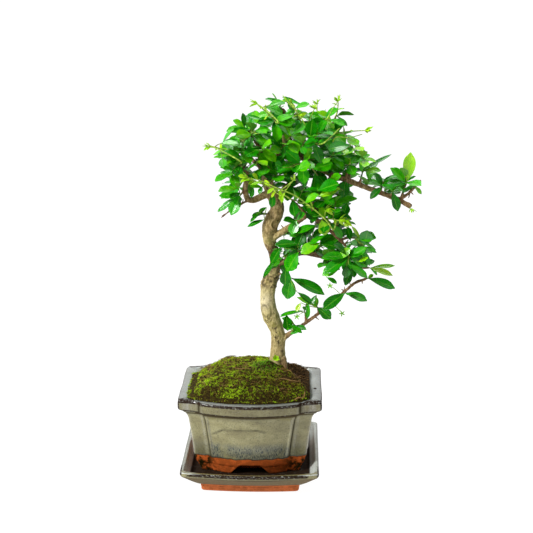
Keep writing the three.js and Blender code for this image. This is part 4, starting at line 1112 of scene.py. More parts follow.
def make_pot():
    levels = smoothed_levels(POT_LEVELS, 1.6)
    body, skin_rows = pot_body(levels)
    shape_pot(body)
    line = panel_line(body)
    marks = np.array([ridge_marks(level) for level in levels])
    tone = pot_tone(body, line, marks, skin_rows)
    body[..., 1] += 0.3 * line
    add_closed_rings("pot_glazed", body, tone, "pot", "pot_glaze")


def matched(half_width, corner, middle, height, outline):
    """A bowed rectangle with a point in the direction of each of the outline's points."""
    dense = bowed_rectangle(half_width, corner, middle, CAVITY_CORNER, columns=60)
    angle = np.arctan2(dense[:, 1] / corner, dense[:, 0] / half_width)
    order = np.argsort(angle)
    wanted = np.arctan2(outline[:, 1] / 45, outline[:, 0] / 55)
    around = np.concatenate([angle[order] - 2 * math.pi, angle[order], angle[order] + 2 * math.pi])
    columns = [np.interp(wanted, around, np.tile(dense[order][:, axis], 3)) for axis in (0, 1)]
    return with_height(np.column_stack(columns), height)


def edge_wear(body):
    """Where the glaze is thin: the rim's outer face near its top, a little near its foot, and the ears."""
    x, y, z = np.abs(body[..., 0]), np.abs(body[..., 1]), body[..., 2]
    outer = np.maximum(x > 72.4, y > 50.9) * (z > RIM_BAND)
    top = np.clip((z - 96.3) / 1.0, 0, 1) * np.clip((100.1 - z) / 0.5, 0, 1)
    low = 0.9 * np.exp(-((z - RIM_BAND - 1.2) / 0.9) ** 2)
    ears = np.exp(-((x - 74.5) / 1.6) ** 2 - ((y - 51.5) / 2) ** 2)
    ear_top = (z > 97) * np.clip((x - 56) / 4, 0, 1) * np.clip((y - 47.5) / 2, 0, 1)
    ear_top = ear_top * (0.75 + 0.4 * lumps(body, 2.2, 6))
    return np.clip(outer * np.maximum.reduce([top, low, 0.22 * np.ones_like(z), ears]) + ear_top, 0, 1)


def painted_rim_band_shade(body):
    """Painted shade: the darker olive zone under the rim's band, where the band shades the wall."""
    return np.exp(-((body[..., 2] - RIM_BAND + 1.5) / 1.6) ** 2)


def wobble(body, amount, size, seed):
    """Hand-made unevenness, pushed outwards from the middle."""
    flat = body * [1, 1, 0]
    direction = flat / (np.linalg.norm(flat, axis=-1, keepdims=True) + 1e-9)
    body += direction * (amount * lumps(body, size, seed))[..., None]


def add_closed_rings(name, body, tone, node, slot):
    rows, count = body.shape[:2]
    points = body.reshape(-1, 3)
    faces = outward(points.tolist(), loft_faces(rows, count, closed=True))
    skin = Skin()
    skin.add(points, faces, 0, tone.reshape(-1, 3))
    make_piece(name, skin, [MATERIALS[slot]], [node])


def foot_grooves(height):
    """1 in the middle of each groove round the saucer's foot."""
    return sum(np.exp(-((height - groove) / 0.5) ** 2) for groove in FOOT_GROOVES)


def saucer_body():
    """Rings from the middle of the underside, up the outside, over the lip and in to the floor's middle.

    The second result is the first ring of the inner wall's lower part.
    """
    rings = []
    for height, half_width, corner, middle in smoothed_levels(SAUCER_LEVELS, 1.5):
        groove = 0.6 * foot_grooves(height) if half_width < 53 else 0
        outline = bowed_rectangle(half_width, corner, middle, SAUCER_CORNER, groove, columns=26)
        rings.append(with_height(outline, height))
    outer = [with_height(rings[0][:, :2] * share, 0) for share in (0.2, 0.6, 0.97)]
    inner = [with_height(rings[-1][:, :2] * share, SAUCER_FLOOR) for share in (0.95, 0.8, 0.5, 0.2)]
    body = np.array([*outer, *rings, *inner])
    wobble(body, 0.3, 30, 5)
    body = np.clip(body, SAUCER_LIMIT * [-1, -1, 0], SAUCER_LIMIT)
    return body, len(outer) + len(rings) - 8


def saucer_tone(body, low_row):
    x, y, z = body[..., 0], body[..., 1], body[..., 2]
    low_part = np.arange(len(body))[:, None] >= low_row
    outside = (np.abs(x) > 70.6) | (np.abs(y) > 70.5 + 6 * (1 - (x / 72) ** 2))
    outside = outside * (0.3 + 0.7 * np.clip((-y - 50) / 12, 0, 1))
    lip = np.clip((z - 23.4) / 0.8, 0, 1) * np.clip((27.1 - z) / 0.3, 0, 1) * outside
    under_lip = 0.6 * np.exp(-((z - 21.2) / 0.5) ** 2) * outside
    # Painted shade: the pot's shadow on the saucer's floor
    floor = 1.0 * (low_part & (z > 16) & (z < 19))
    front_top = 0.3 * ((z > 26.3) & (y < -64)) * (1 - lip)
    tone = np.zeros(body.shape)
    tone[..., 0] = np.maximum(lip + 0.25 * outside * (z > 21), 0.6 * (low_part & (z < 18.8)))
    tone[..., 1] = np.maximum.reduce([under_lip, floor, front_top])
    # Stains low on the foot, and painted shade in its grooves
    tone[..., 2] = 0.15 * (z < 10) + 0.5 * foot_grooves(z)
    return tone


def make_saucer():
    body, low_row = saucer_body()
    points, faces = capped(body)
    skin = Skin()
    skin.add(points, faces, 0, np.vstack([saucer_tone(body, low_row).reshape(-1, 3), np.zeros((2, 3))]))
    make_piece("saucer_glazed", skin, [MATERIALS["saucer_glaze"]], ["saucer"])


def make_drain_mesh():
    """A plastic grid over the drain hole: a frame of bars at a regular pitch."""
    side, thickness = MESH_PLATE["side"], MESH_PLATE["thickness"]
    half, bar = side / 2, MESH_PLATE["bar"] / 2
    skin = Skin()
    corners = np.array([(x, y, z) for z in (0, 1) for y in (0, 1) for x in (0, 1)], float)
    quads = [(0, 2, 3, 1), (4, 5, 7, 6), (0, 1, 5, 4), (2, 6, 7, 3), (0, 4, 6, 2), (1, 3, 7, 5)]
    for place in np.arange(-half + bar, half, MESH_PLATE["pitch"]):
        for turned in (False, True):
            low = np.array([-half, place - bar, POT_FLOOR + (0.5 if turned else 0)])
            size = np.array([side, 2 * bar, thickness / 2])
            points = low + corners * size
            if turned:
                points = points[:, [1, 0, 2]]
            skin.add(points, outward(points.tolist(), quads))
    make_piece("drain_mesh_grid", skin, [MATERIALS["mesh_plastic"]], ["drain_mesh"])


# Ground

def mound_height(distance):
    return SOIL_EDGE + SOIL_RISE * (1 - np.exp(-distance / SOIL_FALL_LENGTH))


def soil_rim(inset):
    """The pot's hollow at the height where the soil meets it."""
    below, above = np.array(CAVITY_LEVELS[1], float), np.array(CAVITY_LEVELS[2], float)
    share = (SOIL_EDGE - below[0]) / (above[0] - below[0])
    _, half_width, corner, middle = below + (above - below) * share
    return bowed_rectangle(half_width, corner, middle, CAVITY_CORNER, inset, columns=36)


def swelling(points, form):
    """How far a form's middle and surroundings stand out at the points."""
    away = (points[..., :2] - form["middle"]) / form["reach"]
    return form["height"] * np.exp(-(away ** form["power"]).sum(-1))


def mound_point(edge, share):
    """Points a share of the way from the pot's wall to the trunk's hole."""
    away = edge - TRUNK_PLACE
    hole = TRUNK_PLACE + away / np.linalg.norm(away, axis=-1, keepdims=True) * TRUNK_FOOT["radius"]
    place = edge + (hole - edge) * share
    distance = np.linalg.norm(place - edge, axis=-1)
    height = mound_height(distance) + swelling(place, HOLLOW)
    return np.concatenate([place, height[..., None]], axis=-1)


def bearing(points):
    """The direction of points seen from the trunk's foot, in degrees."""
    angle = np.arctan2(points[..., 1] - TRUNK_FOOT["y"], points[..., 0] - TRUNK_FOOT["x"])
    return np.degrees(angle)


def moss_cover(points):
    """1 where moss grows and 0 on bare soil, with a ragged border between."""
    turn = bearing(points)
    middle = (BARE_FROM + BARE_TO) / 2
    beyond = np.abs(turn - middle) - (BARE_TO - BARE_FROM) / 2
    return np.clip((beyond + 9 * lumps(points, 7, 11) + 5 * lumps(points, 2.5, 12)) / 8 + 0.5, 0, 1)


def ground_relief(points):
    """Moss above the mound: broad cushions, small clumps, a clod at the back left and moss on the trunk."""
    broad = 1.3 * lumps(points * [1, 1, 0], 17, 21)
    small = 0.9 * lumps(points * [1, 1, 0], 5, 22) + 0.5 * lumps(points * [1, 1, 0], 2.2, 23)
    return broad + small + swelling(points, RAISED_CLOD) + swelling(points, MOSS_CLIMB)


def make_soil():
    rim = soil_rim(GAP)
    shares = np.concatenate([np.linspace(0, 0.3, 16), np.linspace(0.32, 1, 34)])
    top = np.array([mound_point(rim, share) for share in shares])
    top[..., 2] += 0.9 * lumps(top, 3, 31) + 0.6 * lumps(top, 1.4, 32) - 0.6
    bare = np.clip((top[..., 0] - SOIL_BANK["start"]) / SOIL_BANK["slope"], 0, 1)
    top[..., 2] += SOIL_BANK["height"] * bare * np.exp(-shares / SOIL_BANK["width"])[:, None]
    post = circle_like(rim - TRUNK_PLACE, TRUNK_FOOT["radius"] + GAP) + TRUNK_PLACE
    hole = [with_height(post, 108), with_height(post, TRUNK_FOOT["bottom"] - GAP)]
    floor_rows = []
    for height, half_width, corner, middle in CAVITY_LEVELS[:2]:
        outline = bowed_rectangle(half_width, corner, middle, CAVITY_CORNER, GAP, columns=36)
        floor_rows.append(with_height(outline, height + (1.5 if height == POT_FLOOR else 0)))
    body = np.array([*floor_rows, *top, *hole])
    points, faces = capped(body)
    skin = Skin()
    skin.add(points, faces)
    make_piece("soil_mound", skin, [MATERIALS["soil"]], ["soil"])


def moss_grid():
    """Edge points of the pot's hollow in the sector that moss covers, in order round the trunk."""
    rim = soil_rim(2 * GAP)
    turn = bearing(rim)
    inside = (turn < BARE_FROM + 6) | (turn > BARE_TO - 6)
    first = np.flatnonzero(inside & ~np.roll(inside, 1))[0]
    ordered = np.roll(np.arange(len(rim)), -first)
    return rim[[i for i in ordered if inside[i]]]


def moss_top(points):
    cover = moss_cover(points)
    lift = MOSS_THICKNESS * cover + ground_relief(points) * cover - 1.2 * (1 - cover)
    return points + UP * lift[..., None]


def make_moss_mat():
    edge = moss_grid()
    shares = np.concatenate([[0.004, 0.008, 0.02], np.linspace(0.05, 1, 62)])
    ground = np.array([mound_point(edge, share) for share in shares])
    top = moss_top(ground)
    away = edge - TRUNK_PLACE
    away = with_height(away / np.linalg.norm(away, axis=1)[:, None], 0)
    whole = moss_reach(edge) * (0.85 + 0.3 * lumps(ground[0], 5, 24))
    for row, (reach, rise) in enumerate(MOSS_LIP):
        over = with_height(edge, RIM_TOP + rise) + away * (reach * whole)[:, None]
        over += UP * (0.3 * lumps(ground[0], 3, 25))[:, None]
        top[row] = np.where(whole[:, None] > 0.5, over, top[row])
    under = ground - UP * 1.6
    rows, count = ground.shape[:2]
    points = np.concatenate([top, under]).reshape(-1, 3)
    faces = []
    size = rows * count
    for row in range(rows - 1):
        for i in range(count - 1):
            a, b = row * count + i, (row + 1) * count + i
            faces.append((a, a + 1, b + 1, b))
            faces.append((size + a, size + b, size + b + 1, size + a + 1))
    border = [*range(count), *[row * count + count - 1 for row in range(1, rows)],
              *range(size - 2, size - count - 1, -1), *[row * count for row in range(rows - 2, 0, -1)]]
    for a, b in zip(border, border[1:] + border[:1]):
        faces.append((a, size + a, size + b, b))
    skin = Skin()
    skin.add(points, outward(points.tolist(), faces))
    make_piece("moss_mat", skin, [MATERIALS["moss_bed"]], ["moss"])


def mound_share(place, edge):
    """How far a place is on the way from the edge to the trunk's hole, as a share."""
    whole = np.linalg.norm(edge - TRUNK_PLACE) - TRUNK_FOOT["radius"]
    return 1 - (np.linalg.norm(place - TRUNK_PLACE) - TRUNK_FOOT["radius"]) / whole


def spread_on_ground(rng, number):
    """Random points of the mound, even over its area."""
    rim = soil_rim(2 * GAP)
    low, high = rim.min(0), rim.max(0)
    found = []
    angles = np.unwrap(np.radians(bearing(rim)))
    order = np.argsort(angles % (2 * math.pi))
    sorted_angles = (angles % (2 * math.pi))[order]
    while len(found) < number:
        place = rng.uniform(low, high)
        angle = math.atan2(*(place - TRUNK_PLACE)[::-1]) % (2 * math.pi)
        index = np.searchsorted(sorted_angles, angle) % len(rim)
        edge = rim[order[index]]
        share = mound_share(place, edge)
        if 0.015 < share < 0.995:
            found.append(mound_point(edge, share))
    return np.array(found)


def add_spike(skin, base, height, width, lean, turn, tone):
    """One three-sided spike from base, leaning by lean radians towards turn."""
    direction = np.array([math.cos(turn) * math.sin(lean), math.sin(turn) * math.sin(lean), math.cos(lean)])
    side = unit(np.cross(direction, [math.sin(turn), -math.cos(turn), 0.3]))
    other = np.cross(direction, side)
    ring = [base + width * (math.cos(a) * side + math.sin(a) * other) for a in (0.5, 2.6, 4.7)]
    middle = base + direction * height
    green, chance = tone
    tones = [(green, chance, 0.0)] * 3 + [(green, chance, 1.0)]
    skin.add([*ring, middle], [(0, 1, 3), (1, 2, 3), (2, 0, 3)], 0, tones)


def make_moss_tufts():
    rng = np.random.default_rng(7)
    places = np.vstack([spread_on_ground(rng, MOSS_TUFTS["mound"]), moss_border(rng, MOSS_TUFTS["rim"])])
    cover = moss_cover(places)
    tops = moss_top(places)
    vigour = 0.5 + 0.5 * lumps(places * [1, 1, 0], 9, 41) + 0.25 * lumps(places * [1, 1, 0], 3, 42)
    skin = Skin()
    for place, top, share, strength in zip(places, tops, cover, vigour):
        patch = share > 0.45 or (share < 0.2 and strength > 1.02)
        gap = 0.5 * float(lumps(place * [1, 1, 0], 2.4, 43))
        bright = bright_spots(place)
        if not patch or rng.random() > 0.5 + strength + gap + bright:
            rng.random(4)
            continue
        green = np.clip(0.24 + 0.36 * strength + bright + rng.normal(0, 0.26), 0, 1)
        size = 0.6 + 0.35 * np.clip(strength, 0, 1) + 0.25 * max(bright, 0) + rng.uniform(-0.12, 0.2)
        start = rng.uniform(0, 2 * math.pi)
        for i in range(MOSS_TUFTS["leaves"]):
            lean = 0.25 if i == 0 else rng.uniform(0.6, 1.25)
            turn = start + i * 2.4
            add_spike(skin, top - UP * 0.5, (1.9 if i == 0 else 1.6) * size * rng.uniform(0.8, 1.2),
                      0.34 * size, lean, turn, (green, rng.random()))
    make_piece("moss_tufts", skin, [MATERIALS["moss"]])


def moss_border(rng, number):
    """Places where the moss creeps over the inner edge of the pot's rim."""
    edge = moss_grid()
    found = edge[rng.integers(0, len(edge), number)]
    away = found - TRUNK_PLACE
    away /= np.linalg.norm(away, axis=1)[:, None]
    found = found + away * (moss_reach(found) * rng.uniform(-0.9, 1.0, number))[:, None]
    front = found[:, 1] < MOSS_OVERHANG["front_from"]
    left = (found[:, 0] < MOSS_OVERHANG["left_from"]) & (found[:, 1] < MOSS_OVERHANG["left_to"] - 4)
    return with_height(found[front | left], RIM_TOP - MOSS_THICKNESS + 1.2)


def moss_reach(edge):
    """How far the moss creeps over the rim at points of its edge."""
    x, y = edge[:, 0], edge[:, 1]
    front = np.clip((MOSS_OVERHANG["front_from"] - y) / 12, 0, 1)
    front = front * np.clip((MOSS_OVERHANG["front_to"] - x) / 10, 0, 1)
    left = np.clip((MOSS_OVERHANG["left_from"] - x) / 8, 0, 1)
    left = left * np.clip((MOSS_OVERHANG["left_to"] - y) / 8, 0, 1)
    return np.maximum(MOSS_OVERHANG["front"] * front, MOSS_OVERHANG["left"] * left)


def bright_spots(place):
    """How much greener the moss is at a place."""
    total = 0.0
    for x, y, wide, deep, strength in MOSS_SPOTS:
        total += strength * math.exp(-(((place[0] - x) / wide) ** 2 + ((place[1] - y) / deep) ** 2))
    return total


def mound_at(place):
    """The point of the mound above or below a place."""
    rim = soil_rim(2 * GAP)
    aim = math.atan2(*(place[:2] - TRUNK_PLACE)[::-1])
    turns = np.radians(bearing(rim)) - aim
    edge = rim[np.abs(np.angle(np.exp(1j * turns))).argmin()]
    return mound_point(edge, mound_share(place[:2], edge))


def make_fibres():
    """Dead moss stalks, roots and needles that lie on the mound, on the moss and the bare soil alike."""
    rng = np.random.default_rng(19)
    places = spread_on_ground(rng, FIBRES)
    cover = moss_cover(places)
    tops = np.where(cover[:, None] > 0.4, moss_top(places), places)
    skin = Skin()
    for place in tops:
        length = rng.uniform(4, 13)
        turn = rng.uniform(0, 2 * math.pi)
        bend = rng.uniform(-1.3, 1.3)
        rise = rng.uniform(0.2, 2.4)
        t = np.linspace(-0.5, 0.5, 7)
        angle = turn + bend * t
        lift = rise * (0.25 - t * t) + 0.5
        line = place + np.column_stack([length * t * np.cos(angle), length * t * np.sin(angle), lift])
        radius = rng.uniform(0.14, 0.34)
        inside = np.all(np.abs(line[:, 0]) < 63) and np.all(np.abs(line[:, 1]) < 52)
        if not inside or line[:, 2].min() < SOIL_EDGE + 2:
            continue
        add_tube(skin, line, radius * (1 - 0.6 * np.abs(2 * t)), 4, 0, (rng.uniform(-0.25, 0.35), 0, 0))
    for ends, thickness in FALLEN:
        line = arc(np.array(ends, float), np.linspace(0, 1, 12))
        line[:, 2] = [moss_top(mound_at(point))[2] + 1.0 for point in line]
        add_tube(skin, line, thickness * (1 - 0.5 * np.linspace(-1, 1, 12) ** 2), 6, 0, (0.3, 0, 0))
    make_piece("moss_fibres", skin, [MATERIALS["fibre"]])


def make_crumbs():
    """Clods and bits of bark on the bare soil, and a few on the moss."""
    rng = np.random.default_rng(23)
    places = spread_on_ground(rng, CRUMBS)
    cover = moss_cover(places)
    skin = Skin()
    ball = icosphere()
    for place, share in zip(places, cover):
        if share > 0.5 and rng.random() > 0.06:
            rng.random(3)
            continue
        size = rng.uniform(0.5, 1.7) * np.array([1, rng.uniform(0.5, 1), rng.uniform(0.4, 0.8)])
        turn = rng.uniform(0, 2 * math.pi)
        c, s = math.cos(turn), math.sin(turn)
        jitter = 1 + 0.25 * lumps(ball[0] * 3 + place, 1.3, 51)[:, None]
        points = (ball[0] * size * jitter) @ np.array([[c, s, 0], [-s, c, 0], [0, 0, 1]])
        height = MOSS_THICKNESS if share > 0.5 else 0.2
        skin.add(points + place + UP * height, ball[1], 0, (rng.uniform(-0.2, 0.25), 0, 0))
    clod = ball[0] * RIM_CLOD["size"] + [*RIM_CLOD["place"], RIM_TOP]
    skin.add(clod, ball[1], 0, (-0.1, 0, 0))
    make_piece("soil_crumbs", skin, [MATERIALS["soil"]])


def icosphere():
    golden = (1 + math.sqrt(5)) / 2
    points = []
    for a in (-1, 1):
        for b in (-golden, golden):
            points.extend([(0, a, b), (a, b, 0), (b, 0, a)])
    points = np.array(points) / math.hypot(1, golden)
    faces = []
    for i in range(12):
        for j in range(i + 1, 12):
            for k in range(j + 1, 12):
                sides = [np.linalg.norm(points[a] - points[b]) for a, b in ((i, j), (j, k), (i, k))]
                if max(sides) < 1.2:
                    normal = np.cross(points[j] - points[i], points[k] - points[i])
                    faces.append((i, j, k) if normal @ points[i] > 0 else (i, k, j))
    return points, faces


# Wood

def spray_paths(branch, share, shoots):
    """The path of a spray's twig, where it is cut, and the stems that go on from there."""
    rows = LIMBS[branch]
    start = spline(rows, share)
    aim = np.mean([shoot[:3] for shoot in shoots], axis=0)
    length = np.linalg.norm(aim - start)
    path = (start, (start + aim) / 2 + UP * length * TWIG_ARCH, aim)
    cut = float(np.clip((radius_at(rows, share) + TWIG_CLEARANCE) / length, *TWIG_SHARES))
    heading = arc_heading(path, cut)
    root = arc(path, cut) + heading * GAP
    stems = []
    for shoot in shoots:
        tip = np.array(shoot[:3], float)
        stems.append((root, root + heading * np.linalg.norm(tip - root) * STEM_BEND, tip))
    return {"branch": branch, "shoots": shoots, "path": path, "cut": cut, "stems": stems}


sprays = [spray_paths(*row) for row in SPRAYS]


def wood_lines():
    """Centres and radii of every limb and twig."""
    lines = []
    for name, rows in [*LIMBS.items(), ("root", ROOT_TONGUE)]:
        steps = np.linspace(0, 1, (len(rows) - 1) * 10 + 1)
        lines.append((name, spline(rows, steps), radius_at(rows, steps)))
    for spray in sprays:
        steps = np.linspace(0, spray["cut"], 8)
        lines.append(("twig", arc(spray["path"], steps), np.linspace(*TWIG_RADII, 8)))
    foot = np.array([(*TRUNK_PLACE, z) for z in POST_HEIGHTS])
    lines.append(("foot", foot, np.array(POST_RADII)))
    return lines


def make_wood():
    lines = wood_lines()
    skin = Skin()
    for name, centres, radii in lines:
        add_tube(skin, centres, radii, 20 if name in ("trunk", "foot") else 12)
    rough = make_piece("wood_tubes", skin, [])
    remesh = rough.modifiers.new("one_skin", "REMESH")
    remesh.mode = "VOXEL"
    remesh.voxel_size = WOOD_VOXEL * MM
    smooth = rough.modifiers.new("forks", "SMOOTH")
    smooth.factor = 0.5
    smooth.iterations = 5
    graph = bpy.context.evaluated_depsgraph_get()
    mesh = bpy.data.meshes.new_from_object(rough.evaluated_get(graph))
    bpy.data.objects.remove(rough)
    mesh.name = "wood"
    number = len(mesh.vertices)
    points, normals = np.zeros(number * 3), np.zeros(number * 3)
    mesh.vertices.foreach_get("co", points)
    mesh.vertices.foreach_get("normal", normals)
    points, normals = points.reshape(-1, 3) / MM, normals.reshape(-1, 3)
    lift, tone = bark_relief(points, lines)
    mesh.vertices.foreach_set("co", ((points + normals * lift[:, None]) * MM).ravel())
    for name in [a.name for a in mesh.attributes if a.name in ("tone", "place")]:
        mesh.attributes.remove(mesh.attributes[name])
    colours = np.hstack([tone, np.ones((number, 1))])
    mesh.color_attributes.new("tone", "FLOAT_COLOR", "POINT").data.foreach_set("color", colours.ravel())
    mesh.polygons.foreach_set("use_smooth", [True] * len(mesh.polygons))
    mesh.update()
    add_object("wood", mesh, [MATERIALS["bark"]], ["trunk_and_branches"])


def bark_relief(points, lines):
    """How far each point of the bark stands out, and its tone: crevice, with painted shade under the crown
    and round the forks, youth and pale patch.
    """
    centres = np.vstack([line[1] for line in lines])
    radii = np.concatenate([line[2] for line in lines])
    tree = KDTree(len(centres))
    for index, centre in enumerate(centres):
        tree.insert(centre, index)
    tree.balance()
    radius = np.empty(len(points))
    for index, point in enumerate(points):
        found = tree.find_n(point, 14)
        near = radii[[item[1] for item in found]]
        weight = np.exp(-((np.array([item[2] for item in found]) - near) / 1.6) ** 2) + 1e-6
        radius[index] = (weight * near).sum() / weight.sum()
    thick = np.clip((radius - 2.5) / 4, 0, 1)
    ridges = lumps(points, np.array([2.6, 2.6, 9]), 61)
    coarse = lumps(points, 6.5, 62)
    fine = lumps(points, 1.3, 63)
    lift = radius * 0.05 * coarse + (0.12 + 0.22 * thick) * ridges + (0.08 + 0.1 * thick) * fine
    rings = np.sin(points[:, 2] * 2.1 + 2 * lumps(points, 8, 64))
    lift += (1 - thick) * 0.12 * rings
    crevice = np.clip(-1.6 * (ridges + 0.6 * fine) - 0.75, 0, 1) * (0.35 + 0.5 * thick)
    for kind, middle, size, height in MARKS:
        away = np.linalg.norm((points - middle) / [1, 1, 1.7 if kind == "scar" else 1.3], axis=1) / size
        if kind == "knot":
            lift += height * np.exp(-away ** 2) * (1 + 0.4 * fine)
        else:
            lift += height * (np.exp(-((away - 1) / 0.22) ** 2) - 0.7 * np.exp(-(away / 0.6) ** 2))
            crevice += 0.5 * np.exp(-((away - 0.74) / 0.16) ** 2) * (1 + 0.7 * ridges)
    height = points[:, 2] + 2.5 * lumps(points, 8, 67)
    collar = np.exp(-((height - COLLAR["z"]) / COLLAR["half"]) ** 2) * thick
    lift += collar * (0.6 + 0.6 * fine + 0.9 * lumps(points, 2.6, 68))
    crevice += collar * np.clip(0.35 + 1.1 * lumps(points, np.array([3.4, 3.4, 1.6]), 65), 0, 0.9)
    # Painted shade of the crown on the length above the collar
    dark = np.exp(-((height - CROWN_SHADE_LENGTH["z"]) / CROWN_SHADE_LENGTH["half"]) ** 4) * np.maximum(thick, 0.7)
    crevice += dark * np.clip(0.72 + 0.6 * lumps(points, 4, 69), 0, 0.9)
    young = 1 - np.clip((radius - 2.2) / 3.2, 0, 1)
    for z, half, share in BROWN_ZONES:
        young = np.maximum(young, share * np.exp(-((height - z) / half) ** 4))
    young = np.clip(young + 0.16 * coarse * thick, 0, 1)
    x, z, size = PALE_PATCH
    pale = np.exp(-((points[:, 0] - x) / 9) ** 2 - ((points[:, 2] - z) / size) ** 2)
    lift -= 0.5 * pale * (ridges * 0.2 + fine * 0.1)
    # Painted shade round each fork, where a branch leaves
    for rows in BRANCHES.values():
        near = np.exp(-(np.linalg.norm(points - rows[0][:3], axis=1) / 9) ** 2)
        crevice += 0.22 * near * (0.5 + 0.8 * lumps(points, 2.2, 66))
    return lift, np.column_stack([np.clip(crevice, 0, 0.9), young, pale])


# Leaves

class LeafForm:
    """A leaf's grid from stalk to tip and across, with the faces of its closed thin body."""

    def __init__(self, rows, columns, widths):
        self.u = np.array(rows)[:, None]
        self.v = np.array(columns)[None, :]
        self.half = np.array(widths)[:, None]
        number, across = len(rows), len(columns)
        top = np.arange(number * across).reshape(number, across)
        self.margin = np.zeros((number, across), bool)
        self.margin[0] = self.margin[-1] = self.margin[:, 0] = self.margin[:, -1] = True
        bottom = top.copy()
        bottom[~self.margin] = number * across + np.arange((~self.margin).sum())
        self.faces, self.slots = [], []
        for grid, slot in ((top, 0), (bottom, 1)):
            for r in range(number - 1):
                for c in range(across - 1):
                    quad = (grid[r, c], grid[r + 1, c], grid[r + 1, c + 1], grid[r, c + 1])
                    self.faces.append(tuple(int(i) for i in (quad if slot == 0 else quad[::-1])))
                    self.slots.append(slot)
        rows_across = np.broadcast_to(self.u, top.shape), np.broadcast_to(self.v * 0.5 + 0.5, top.shape)
        place = np.stack(rows_across, axis=-1)
        self.place = np.vstack([place.reshape(-1, 2), place[~self.margin]])
        self.rim = np.concatenate([self.margin.ravel(), np.zeros((~self.margin).sum())])


THIRDS = [-1, -2 / 3, -1 / 3, 0, 1 / 3, 2 / 3, 1]
SPOON = LeafForm(
    [0, 0.07, 0.15, 0.25, 0.36, 0.5, 0.64, 0.76, 0.86, 0.94, 1], THIRDS,
    [0.04, 0.07, 0.16, 0.28, 0.38, 0.46, 0.5, 0.48, 0.41, 0.30, 0.14],
)
LANCE = LeafForm(
    [0, 0.15, 0.35, 0.55, 0.75, 0.9, 1], [-1, -0.5, 0, 0.5, 1], [0.08, 0.3, 0.46, 0.5, 0.38, 0.2, 0.03],
)


def leaf_axes(leaf):
    along = leaf["tip"] - leaf["base"]
    length = np.linalg.norm(along)
    along = along / length
    out = unit(leaf["up"] - along * (leaf["up"] @ along))
    return along, length, out, np.cross(along, out)


def add_leaf(skin, leaf, form, tone, character):
    """Adds a leaf of this form. character is what leaf_character gives."""
    along, length, out, across = leaf_axes(leaf)
    teeth, twist, wave, curl = character
    u, v = form.u, form.v
    side = form.half * leaf["width"] * v
    rounded = 0.07 * u ** 4 * (1 - v ** 2)
    notch = 0.045 * teeth * u ** 10 * np.abs(np.sin(1.5 * math.pi * v))
    forward = length * (0.93 * u + rounded - notch)
    lift = 2 * BLADE_FOLD * np.abs(side) * (0.6 + 0.4 * np.abs(v)) * (1 - 0.3 * curl)
    lift = lift - 0.12 * (v == 0)
    drop = BLADE_ARCH * length * u ** 2
    ripple = wave * np.sin(2 * math.pi * (2.3 * u + teeth)) * v ** 2 * u
    angle = twist * u
    turned = side * np.cos(angle) - lift * np.sin(angle)
    raised = side * np.sin(angle) + lift * np.cos(angle) + ripple - drop
    grid = leaf["base"] + forward[..., None] * along + turned[..., None] * across + raised[..., None] * out
    inside = ~form.margin
    top = grid.copy()
    top[inside] += out * HALF_LEAF
    under = grid[inside] - out * HALF_LEAF
    skin.add(np.vstack([top.reshape(-1, 3), under]), form.faces, form.slots, tone, form.place, form.rim)


def side_step(attempt):
    return math.ceil(attempt / 2) * (1 if attempt % 2 == 0 else -1)


def leaf_on_stem(stem, share, numbers, longest, index, attempt, pale):
    """The leaf that the model's rule sets at a share of a stem. numbers are its draws' arguments."""
    spray, shoot, seed = numbers
    base, axis = arc(stem, share), arc_heading(stem, share)
    upright = math.hypot(axis[0], axis[1]) < 0.2
    first = np.array([1.0, 0, 0]) if upright else np.cross(UP, axis)
    first = unit(first - axis * (first @ axis))
    second = np.cross(axis, first)
    turn = 360 * draw(spray, shoot, 7) + LEAF_TURN * index
    around = math.radians(turn + TRY_TURN * side_step(attempt))
    mean_lean = LEAF_LEAN[min(index, len(LEAF_LEAN) - 1)]
    lean = math.radians(mean_lean + LEAN_SPREAD * (draw(spray, seed, 2) - 0.5))
    out = first * math.cos(around) + second * math.sin(around)
    heading = axis * math.cos(lean) + out * math.sin(lean)
    size = longest * (LEAST_LENGTH + (1 - LEAST_LENGTH) * draw(spray, seed, 3)) * (1 - TRY_SHRINK * attempt)
    length = size * TIP_LEAF if index == 0 else size
    green = LEAF_WIDTH["least"] + LEAF_WIDTH["spread"] * draw(spray, seed, 4)
    width = length * (LEAF_WIDTH["pale"] if pale else green)
    up = axis * LEAF_UP["stem"] + np.array(LEAF_UP["sky"])
    return {"base": base, "tip": base + heading * length, "up": up, "width": width}


def ruled_leaf(stem, spray_index, shoot_index, shoot, index, attempt):
    count, longest = shoot[3], shoot[4]
    pale = longest < PALE_LENGTH
    whole = arc_length(stem)
    spacing = whole * PALE_SPREAD / count if pale else LEAF_SPACING
    share = max(LOWEST_LEAF, 1 - index * spacing / whole)
    numbers = (spray_index, shoot_index, shoot_index * 16 + index)
    return leaf_on_stem(stem, share, numbers, longest, index, attempt, pale)


def placed_leaf(stem, row, index, attempt):
    x, y, z, width = row
    tip = np.array([x, y + TRY_NUDGE * side_step(attempt), z], float)
    return {"base": arc(stem, 1 - HAND_SPACING * index), "tip": tip, "up": np.array(HAND_UP), "width": width}


def model_corners(node):
    """The corners of a node of the model, to see which leaves it holds."""
    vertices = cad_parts[node].data.vertices
    tree = KDTree(len(vertices))
    for index, vertex in enumerate(vertices):
        tree.insert(vertex.co / MM, index)
    tree.balance()
    return tree


def found_leaf(make_leaf, corners, pale):
    """The try whose tip is a corner of the model's solid, or None if the leaf isn't there."""
    for attempt in range(LEAF_TRIES):
        leaf = make_leaf(attempt)
        _, length, out, _ = leaf_axes(leaf)
        drop = 0 if pale else BLADE_ARCH * length
        tip = leaf["tip"] + out * (BLADE_HALF_THICKNESS - drop)
        if corners.find(tip)[2] < TIP_MATCH:
            return leaf
    return None


